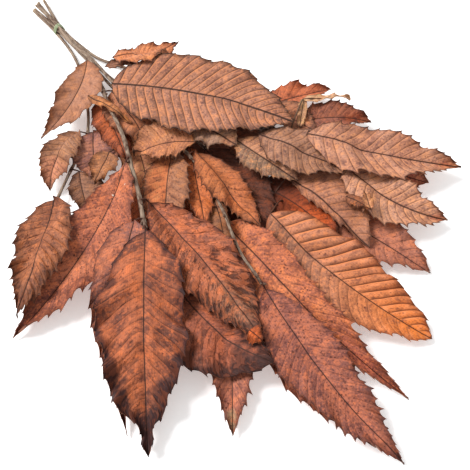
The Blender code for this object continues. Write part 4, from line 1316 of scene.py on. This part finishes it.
@dataclass
class LaidLeaf:
    """A leaf on the pile, with stations from 0 at its blade's base to 1 at its tip.

    The blade is thickness thick, but counts as laid_thickness for what comes after it. The side veins sweep
    forward by edge_sweep on a curve of the power vein_curve. stagger moves those of the left half forward and
    those of the right half back, in teeth, and tooth_hook bends the teeth towards the tip. The blade is draped
    on a grid of drape_rows by drape_columns, and made with a row at each of row_phases between two teeth.
    """

    leaf: Leaf
    start: np.ndarray
    heights: Pile
    twig_above: bool
    seed: int
    thickness: float = 0.36
    laid_thickness: float = 0.84
    gap: float = 0.2
    shortest_stalk: float = 6.0
    edge_sweep: float = 0.62
    vein_curve: float = 1.10
    tooth_hook: float = 0.30
    least_half: float = 0.35
    stagger: float = 0.25
    stalk_radius: float = 0.75
    rib_radius: float = 0.55
    rib_end_radius: float = 0.14
    rib_sides: int = 8
    drape_rows: int = 141
    drape_columns: int = 33
    row_phases: tuple[float, ...] = (0.0, 0.2, 0.36, 0.5, 0.6, 0.66, VEIN_PHASE, 0.76, 0.86)
    half_columns: tuple[float, ...] = (
        0.05, 0.12, 0.21, 0.31, 0.42, 0.53, 0.64, 0.74, 0.83, 0.90, 0.95, 0.98, 1.0
    )

    def __post_init__(self) -> None:
        """Lay the leaf down."""
        self.draw = np.random.default_rng(self.seed)
        self.base = np.array(self.leaf.base, float)
        self.tip = np.array(self.leaf.tip, float)
        chord = self.tip - self.base
        self.length = float(np.hypot(*chord))
        if self.leaf.in_frame and np.hypot(*(self.base - self.start[:2])) < self.shortest_stalk:
            self.base = self.start[:2] + chord / self.length * self.shortest_stalk
        self.veins = int(round(self.leaf.teeth * 1.5))
        self.tooth_sizes = self.draw.uniform(0.55, 1.35, (2, self.veins + 1))
        self.turns = self.draw.uniform(0.0, 2.0 * math.pi, (2, 4))
        self.lay()

    def per_side(self, across: np.ndarray, values: np.ndarray) -> np.ndarray:
        """Take the first value on the leaf's left and the second on its right."""
        return np.where(across > 0.0, values[0], values[1])

    def spine(self, station: np.ndarray) -> np.ndarray:
        """The midrib's place at each station of the blade.

        Args:
            station: Places along the blade.

        Returns:
            Places in X and Y.
        """
        chord = self.tip - self.base
        left = np.array([-chord[1], chord[0]]) / np.hypot(*chord)
        part = np.clip(station, 0.0, 1.0)[..., None]
        return self.base + chord * part + left * self.leaf.bow * 4.0 * part * (1.0 - part)

    def left_hand(self, station: np.ndarray) -> np.ndarray:
        """The direction to the leaf's left at each station.

        Args:
            station: Places along the blade.

        Returns:
            Directions in X and Y.
        """
        chord = self.tip - self.base
        left = np.array([-chord[1], chord[0]]) / np.hypot(*chord)
        part = np.clip(station, 0.0, 1.0)[..., None]
        heading = chord + left * self.leaf.bow * 4.0 * (1.0 - 2.0 * part)
        return left_of(unit(heading))

    def half_width(self, station: np.ndarray, across: np.ndarray) -> np.ndarray:
        """Half the blade's width, without its teeth.

        Args:
            station: Places along the blade.
            across: Places across it, above 0 on its left.

        Returns:
            The half widths.
        """
        belly, taper = self.leaf.belly, self.leaf.taper
        part = np.clip(station, 0.0, 1.0)
        shape = part**belly * (1.0 - part) ** taper
        widest = belly / (belly + taper)
        peak = widest**belly * (1.0 - widest) ** taper
        side = np.where(across > 0.0, self.leaf.left, self.leaf.right)
        # Two waves of different lengths along each margin make the outline uneven.
        slow = 0.035 * np.sin(5.3 * math.pi * part + self.per_side(across, self.turns[:, 0]))
        quick = 0.02 * np.sin(12.1 * math.pi * part + self.per_side(across, self.turns[:, 1]))
        uneven = 1.0 + self.leaf.lobes * (slow + quick)
        uneven = uneven - self.leaf.pinch * np.exp(-(((part - self.leaf.pinch_at) / 0.06) ** 2))
        return np.maximum(self.least_half, self.leaf.width / 2.0 * shape / peak * side * uneven)

    def tooth(self, station: np.ndarray, across: np.ndarray) -> np.ndarray:
        """How far the teeth stand out: slowly rising from the foot, then falling fast beyond the point.

        Args:
            station: Places along the margin.
            across: Places across the blade, whose sign picks the side.

        Returns:
            Shares from 0 at a tooth's foot to about 1 at its point.
        """
        turn = np.clip(station, 0.0, 1.0) * self.veins
        phase = np.mod(turn, 1.0)
        rising = (phase / VEIN_PHASE) ** 3.2
        falling = ((1.0 - phase) / (1.0 - VEIN_PHASE)) ** 2.6
        rise = np.where(phase < VEIN_PHASE, rising, falling)
        index = np.clip(turn.astype(int), 0, self.veins)
        size = np.where(across > 0.0, self.tooth_sizes[0][index], self.tooth_sizes[1][index])
        inside = np.clip(np.minimum(station, 1.0 - station) / 0.04, 0.0, 1.0)
        return rise * size * inside

    def plan(self, station: np.ndarray, across: np.ndarray) -> tuple[np.ndarray, np.ndarray]:
        """The place on the surface of each point of the blade.

        Args:
            station: The row of each point, before it is swept forward.
            across: Its place across the blade.

        Returns:
            The places, and the blade's half width there.
        """
        side = np.abs(across)
        room = 0.25 * (4.0 * station * (1.0 - station)) ** 0.85
        swept = station + self.edge_sweep * room * side**self.vein_curve
        swept = swept + self.stagger / self.veins * np.tanh(6.0 * across) * np.clip(6.0 * room, 0.0, 1.0)
        tooth = self.tooth(station, across)
        swept = swept + self.tooth_hook / self.veins * tooth * side**10 * np.clip(8.0 * room, 0.0, 1.0)
        swept = np.clip(swept, 0.0, 1.0)
        half = self.half_width(swept, across)
        half = half + np.minimum(self.leaf.spike, 0.3 * half) * (tooth - 0.22) * side**7
        return self.spine(swept) + self.left_hand(swept) * (half * across)[..., None], half

    def relief(self, station: np.ndarray, across: np.ndarray) -> np.ndarray:
        """The blade's own curl, ripple and pleats.

        Args:
            station: Places along the blade.
            across: Places across it, above 0 on its left.

        Returns:
            Heights above the midrib's own.
        """
        leaf = self.leaf
        part = np.clip(station, 0.0, 1.0)
        side = np.abs(across)
        body = np.sin(math.pi * part) ** 0.7
        cup = np.where(across > 0.0, leaf.cup_left, leaf.cup_right) * side**1.8
        turn = 2.0 * math.pi * leaf.waves * part + np.where(across > 0.0, 0.0, 1.9)
        ripple = leaf.wave * side**1.5 * np.sin(turn)
        quick = 2.0 * math.pi * part * self.veins
        # The small folds at the margin run over two to four veins each.
        ruffle = np.sin(quick * 0.41 + self.per_side(across, self.turns[:, 2]))
        ruffle = ruffle + 0.7 * np.sin(quick * 0.23 + self.per_side(across, self.turns[:, 3]))
        pleat = np.abs(np.sin(math.pi * (part * self.veins - VEIN_PHASE))) ** 0.9 - 0.6
        # The midrib lies in a groove 0.9 mm deep.
        fold = 0.9 * np.exp(-((side * leaf.width / 2.0 / 2.2) ** 2))
        return body * (cup + ripple + leaf.ruffle * side**2.5 * ruffle) + body**0.5 * (
            np.where(across > 0.0, 1.0, leaf.pleat_right) * leaf.pleat * pleat * side**0.45 - fold
        )

    def natural(self, station: np.ndarray) -> np.ndarray:
        """The height that the midrib keeps where nothing lifts it.

        Args:
            station: Places along the blade.

        Returns:
            The heights.
        """
        part = np.clip(station, 0.0, 1.0)
        start, end = self.leaf.heights
        return start + (end - start) * part + self.leaf.arch * 4.0 * part * (1.0 - part)

    def lay(self) -> None:
        """Drape the blade over the pile, then add it to the pile."""
        drape_stations = np.linspace(0.0, 1.0, self.drape_rows)
        drape_across = np.linspace(-1.0, 1.0, self.drape_columns)
        station, across = np.meshgrid(drape_stations, drape_across, indexing="ij")
        place, _ = self.plan(station, across)
        least = self.heights.needed(place[..., 0], place[..., 1], self.gap) - self.relief(station, across)
        least = np.maximum(least, self.natural(station))
        lift = smooth_cover(smooth_cover(least, self.drape_rows // 12, 0), 4, 1)

        rows = [(tooth + phase) / self.veins for tooth in range(self.veins) for phase in self.row_phases]
        halves = np.array(self.half_columns)
        self.rows = np.array([*rows, 1.0])
        self.columns = np.concatenate([halves[::-1], [0.0], -halves])
        station, across = np.meshgrid(self.rows, self.columns, indexing="ij")
        self.place, self.half = self.plan(station, across)
        self.lift = self.read(lift, station, across)
        relief = self.relief(station, across)
        for _ in range(2):
            needed = self.heights.needed(self.place[..., 0], self.place[..., 1], self.gap)
            short = needed - self.lift - relief
            self.lift = self.lift + smooth_cover(smooth_cover(np.maximum(short, 0.0), 6, 0), 2, 1)
        self.height = np.maximum(self.lift + relief, 0.0)
        self.rib = self.rib_path()
        self.add()

    def read(self, sheet: np.ndarray, station: np.ndarray, across: np.ndarray) -> np.ndarray:
        """Read an evenly spaced sheet anywhere on the blade.

        Args:
            sheet: The sheet's values, rows by columns.
            station: Places along the blade.
            across: Places across it.

        Returns:
            The values there.
        """
        row = np.clip(station, 0.0, 1.0) * (self.drape_rows - 1)
        column = (across + 1.0) / 2.0 * (self.drape_columns - 1)
        low_row = np.clip(row.astype(int), 0, self.drape_rows - 2)
        low_column = np.clip(column.astype(int), 0, self.drape_columns - 2)
        part_row, part_column = row - low_row, column - low_column
        rest = 1 - part_column
        near = sheet[low_row, low_column] * rest + sheet[low_row, low_column + 1] * part_column
        far = sheet[low_row + 1, low_column] * rest + sheet[low_row + 1, low_column + 1] * part_column
        return near * (1 - part_row) + far * part_row

    def add(self) -> None:
        """Raise the pile to the blade's upper face."""
        place, height = self.place, self.height
        for step in (0.0, 0.25, 0.5, 0.75):
            between = place[:, :-1] * (1 - step) + place[:, 1:] * step
            top = height[:, :-1] * (1 - step) + height[:, 1:] * step
            self.heights.add(between[..., 0], between[..., 1], top + self.laid_thickness)
        path, radii, _ = self.rib
        for step in np.linspace(0.0, 1.0, 6)[:-1]:
            between = path[:-1] * (1 - step) + path[1:] * step
            self.heights.add(between[:, 0], between[:, 1], between[:, 2] + radii[:-1])

    def rib_path(self) -> tuple[np.ndarray, np.ndarray, np.ndarray]:
        """The stalk and the midrib as one line.

        Returns:
            Its points, its radii and its stations.
        """
        middle = len(self.half_columns)
        blade = np.dstack([self.place, self.height + self.thickness - 0.12])[:, middle]
        picked = np.linspace(0.0, 0.97, 34)
        blade = np.stack([np.interp(picked, self.rows, blade[:, k]) for k in range(3)], axis=1)
        fade = np.linspace(0.0, 1.0, 13)[:-1]
        stalk = self.start[None, :] * (1.0 - fade[:, None]) + blade[0][None, :] * fade[:, None]
        bend = np.sin(math.pi * fade) * min(2.0, 0.1 * np.hypot(*(self.base - self.start[:2])))
        stalk[:, 2] += np.abs(bend)
        clear = self.heights.needed(stalk[:, 0], stalk[:, 1], 0.0)
        if not self.twig_above:
            lifted = np.maximum(stalk[:, 2], np.where(fade > 0.25, clear + self.stalk_radius * 0.5, 0.0))
            stalk[:, 2] = smooth_cover(lifted, 2, 0)
            stalk[0] = self.start
        if not self.leaf.in_frame:
            return blade, np.interp(picked, (0.0, 1.0), (0.3, self.rib_end_radius)), picked
        stalk_radii = self.stalk_radius * (1.0 + 0.9 * (1.0 - fade) ** 6)
        sizes = (self.stalk_radius, self.rib_radius, self.rib_end_radius)
        radii = np.concatenate([stalk_radii, np.interp(picked, (0.0, 0.15, 1.0), sizes)])
        return np.concatenate([stalk, blade]), radii, np.concatenate([fade * 0.0, picked])

    def make(self) -> bpy.types.Object:
        """Make the blade, its midrib and its stalk as one piece.

        Returns:
            The leaf.
        """
        piece = self.make_blade()
        self.measure_blade(piece)
        Workshop.join(piece, [self.make_rib()])
        Workshop.smooth(piece, 55.0)
        return piece

    def make_blade(self) -> bpy.types.Object:
        """Bend a grid into the laid blade and give it its thickness.

        Returns:
            The blade.
        """
        rows, columns = self.height.shape
        Workshop.deselect()
        bpy.ops.mesh.primitive_grid_add(x_subdivisions=columns - 1, y_subdivisions=rows - 1, size=2.0)
        piece = bpy.context.active_object
        piece.name = piece.data.name = self.leaf.name + "_blade" if self.leaf.in_frame else self.leaf.name
        points = in_metres(np.dstack([self.place, self.height]))
        piece.data.vertices.foreach_set("co", points.ravel())
        piece.data.update()
        wall = piece.modifiers.new("thickness", "SOLIDIFY")
        wall.thickness = self.thickness * MM
        wall.offset = 1.0
        bpy.ops.object.modifier_apply(modifier=wall.name)
        return piece

    def measure_blade(self, piece: bpy.types.Object) -> None:
        """Write what the leaf's paint reads at each point: its place, its distances and its face.

        Args:
            piece: The blade, with all points of one face before those of the other.
        """
        station, across = np.meshgrid(self.rows, self.columns, indexing="ij")
        one_side = np.stack([(across.ravel() + 1.0) / 2.0, station.ravel()], axis=1)
        Workshop.write_uv(piece, np.concatenate([one_side, one_side]))
        from_rib = (np.abs(across) * self.half).ravel()
        from_edge = ((1.0 - np.abs(across)) * self.half).ravel()
        from_end = ((1.0 - station) * self.length * 0.5).ravel()
        one_side = np.stack([from_rib, np.minimum(from_edge, from_end), np.zeros_like(from_rib)], axis=1)
        other_side = one_side.copy()
        count = len(one_side)
        height = np.zeros(len(piece.data.vertices) * 3)
        piece.data.vertices.foreach_get("co", height)
        height = height[2::3]
        lower = other_side if height[:count].mean() > height[count:].mean() else one_side
        lower[:, 2] = 1.0
        Workshop.write(piece, MEASURE, np.concatenate([one_side, other_side]))

    def make_rib(self) -> bpy.types.Object:
        """Make the stalk and the midrib as one tapering tube.

        Returns:
            The tube.
        """
        path, radii, stations = self.rib
        chord = self.tip - self.base
        rings = rings_along(path, np.array([*left_of(chord), 0.0]), radii, self.rib_sides, 0.8)
        rib = Workshop.tube("rib", in_metres(rings))
        count = len(stations) * self.rib_sides
        Workshop.write_uv(rib, np.stack([np.full(count, 0.5), np.repeat(stations, self.rib_sides)], axis=1))
        # On the rib, and 30 mm from any edge.
        Workshop.write(rib, MEASURE, np.tile([0.0, 30.0, 0.0], (count, 1)))
        return rib


@dataclass
class Tie:
    """The narrow ribbon that is wound round the six twigs.

    The twigs lie bed_height above the table over the bed's half width and half length, which leaves the
    ribbon room below them.
    """

    place_y: float = 312.0
    turns: float = 3.15
    pitch: float = 1.5
    ribbon_radius: float = 0.85
    flatness: float = 0.62
    clearance: float = 0.35
    per_turn: int = 40
    tail_length: float = 9.0
    sides: int = 8
    grain_step: float = 0.06
    bed: Place = (7.0, 4.5)
    bed_height: float = 1.0

    def make(self, twigs: dict[str, LaidTwig]) -> bpy.types.Object:
        """Wind the ribbon.

        Args:
            twigs: The twigs that it holds.

        Returns:
            The tie.
        """
        places, radii = [], []
        for laid in twigs.values():
            point, radius, _ = laid.nearest((laid.twig.route[1][0], self.place_y))
            places.append((point[0], point[2]))
            radii.append(radius)
        centres = np.array(places)
        middle = centres.mean(axis=0)
        facing = np.radians(np.arange(0, 360, 5))
        outward = np.stack([np.cos(facing), np.sin(facing)], axis=1)
        support = ((centres - middle) @ outward.T + np.array(radii)[:, None]).max(axis=0) + self.clearance
        turn = np.linspace(0.0, self.turns, int(self.turns * self.per_turn))
        direction = np.stack([np.cos(2.0 * math.pi * turn), np.sin(2.0 * math.pi * turn)], axis=1)
        cosine = direction @ outward.T
        reach = np.where(cosine > 0.2, support / np.maximum(cosine, 0.2), 1e9).min(axis=1)
        reach = np.convolve(np.pad(reach, 3, mode="edge"), np.full(7, 1.0 / 7.0), mode="valid")
        y = self.place_y + (turn - self.turns / 2.0) * self.pitch + 0.5 * np.sin(2.0 * math.pi * turn)
        x, z = (middle[axis] + direction[:, axis] * reach for axis in (0, 1))
        path = np.stack([x, y, z], axis=1)
        away = np.linspace(0.0, 1.0, 12)[1:, None]
        leaving = unit(path[-1] - path[-2])
        tail = path[-1] + leaving * self.tail_length * away * (1.0 - 0.45 * away)
        tail = tail + np.array([2.5, -4.0, -0.5]) * away**2
        path = np.concatenate([path, tail])
        radii = np.full(len(path), self.ribbon_radius)
        rings = rings_along(path, np.array([0.0, 1.0, 0.0]), radii, self.sides, self.flatness)
        piece = Workshop.tube("tie_ribbon", in_metres(rings))
        grain = np.zeros(rings.shape)
        grain[..., 0] = np.cos(ring_turns(self.sides))
        grain[..., 1] = np.sin(ring_turns(self.sides))
        grain[..., 2] = (np.arange(len(path)) * self.grain_step)[:, None]
        Workshop.write(piece, GRAIN, grain)
        Workshop.smooth(piece, 60.0)
        return piece


class Bunch:
    """The whole bunch: its twigs, its leaves and its tie.

    heights holds the top of all that is laid, and blades that of the leaves alone, which later twigs clear.
    """

    def __init__(self) -> None:
        """Lay every piece down in order."""
        self.heights = Pile()
        self.blades = Pile()
        self.twigs: dict[str, LaidTwig] = {}
        self.leaves: list[LaidLeaf] = []
        tie = Tie()
        half_width, half_length = tie.bed
        for x in np.arange(-half_width, half_width):
            for y in np.arange(-half_length, half_length):
                self.blades.add(x, tie.place_y + y, tie.bed_height)
        for order, piece in enumerate(PILE):
            if isinstance(piece, str):
                laid = list(self.twigs.values())
                self.twigs[piece] = LaidTwig(TWIGS[piece], self.heights, self.blades, laid, order)
                continue
            above = piece.twig not in self.twigs
            if above:
                start = self.start_below(piece)
            else:
                start = self.twigs[piece.twig].nearest(piece.base)[0].copy()
            leaf = LaidLeaf(piece, start, self.heights, above, order)
            self.leaves.append(leaf)
            self.blades.add(leaf.place[..., 0], leaf.place[..., 1], leaf.height + leaf.laid_thickness)

    @staticmethod
    def start_below(leaf: Leaf) -> np.ndarray:
        """Where a stalk starts, under a twig that is not laid yet.

        Args:
            leaf: The leaf.

        Returns:
            The place of its start.
        """
        twig = TWIGS[leaf.twig]
        route, _ = smooth_route(twig.route, 1.0)
        start = route[int(np.argmin(np.hypot(*(route[:, :2] - np.array(leaf.base)).T)))]
        start[2] -= twig.end_radius * 0.8
        return start

    def make(self) -> None:
        """Make and dress every piece."""
        bark = BarkFinish().material("bark")
        for name, laid in self.twigs.items():
            piece = laid.make()
            Workshop.dress(piece, bark, "bark")
            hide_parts(name)
        for laid in self.leaves:
            piece = laid.make()
            material = laid.leaf.finish.material(laid.leaf.name, laid.veins)
            Workshop.dress(piece, material, slot_of(laid.leaf))
            if laid.leaf.in_frame:
                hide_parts(laid.leaf.name)
        ribbon = Tie().make(self.twigs)
        Workshop.dress(ribbon, TieFinish().material("tie"), "tie")
        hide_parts("tie")


def slot_of(leaf: Leaf) -> str:
    """The record's leaf slot whose colour is nearest to a leaf's own.

    Args:
        leaf: The leaf.

    Returns:
        The slot's name.
    """
    body = np.array(leaf.finish.body)
    nearest = min(Tint, key=lambda tint: float(np.abs(np.array(tint.value) - body).sum()))
    return "leaf_" + nearest.name.lower()


@dataclass
class Studio:
    """The table, the light and the camera, in metres and degrees."""

    aim: tuple[float, float, float] = (-0.0035, -0.0575, 0.015)
    distance: float = 0.750
    elevation: float = 60.0
    bearing: float = 36.0
    lens: float = 65.0
    table_size: float = 6.0
    sensor_width: float = 36.0
    sky: float = 0.66
    sun_strength: float = 3.7
    sun_angle: float = 24.0
    sun_from: tuple[float, float, float] = (-0.42, 0.62, 0.95)

    def make(self) -> None:
        """Set up the scene round the bunch."""
        elevation, bearing = math.radians(self.elevation), math.radians(self.bearing)
        forward = Vector((math.sin(bearing), math.cos(bearing), 0.0))
        back = -forward * math.cos(elevation) + Vector((0.0, 0.0, math.sin(elevation)))
        camera = bpy.data.objects.new("camera", bpy.data.cameras.new("camera"))
        camera.data.lens = self.lens
        camera.data.sensor_width = self.sensor_width
        camera.location = Vector(self.aim) + back * self.distance
        camera.rotation_euler = (-back).to_track_quat("-Z", "Y").to_euler()
        bpy.context.scene.collection.objects.link(camera)
        bpy.context.scene.camera = camera

        sun = bpy.data.objects.new("sun", bpy.data.lights.new("sun", "SUN"))
        sun.data.energy = self.sun_strength
        sun.data.angle = math.radians(self.sun_angle)
        sun.rotation_euler = Vector(self.sun_from).to_track_quat("Z", "Y").to_euler()
        bpy.context.scene.collection.objects.link(sun)

        world = bpy.data.worlds.new("sky")
        world.use_nodes = True
        world.node_tree.nodes["Background"].inputs["Color"].default_value = (1.0, 1.0, 1.0, 1.0)
        world.node_tree.nodes["Background"].inputs["Strength"].default_value = self.sky
        bpy.context.scene.world = world
        bpy.context.scene.view_settings.view_transform = "Standard"

        Workshop.deselect()
        bpy.ops.mesh.primitive_plane_add(size=self.table_size)
        table = bpy.context.active_object
        table.name = table.data.name = "table_top"
        table.data.materials.append(TableFinish().material("table"))


def main() -> None:
    """Build the studio and the bunch."""
    logging.basicConfig(level=logging.INFO, format="%(message)s")
    Studio().make()
    Bunch().make()
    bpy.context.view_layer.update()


if __name__ == "__main__":
    main()
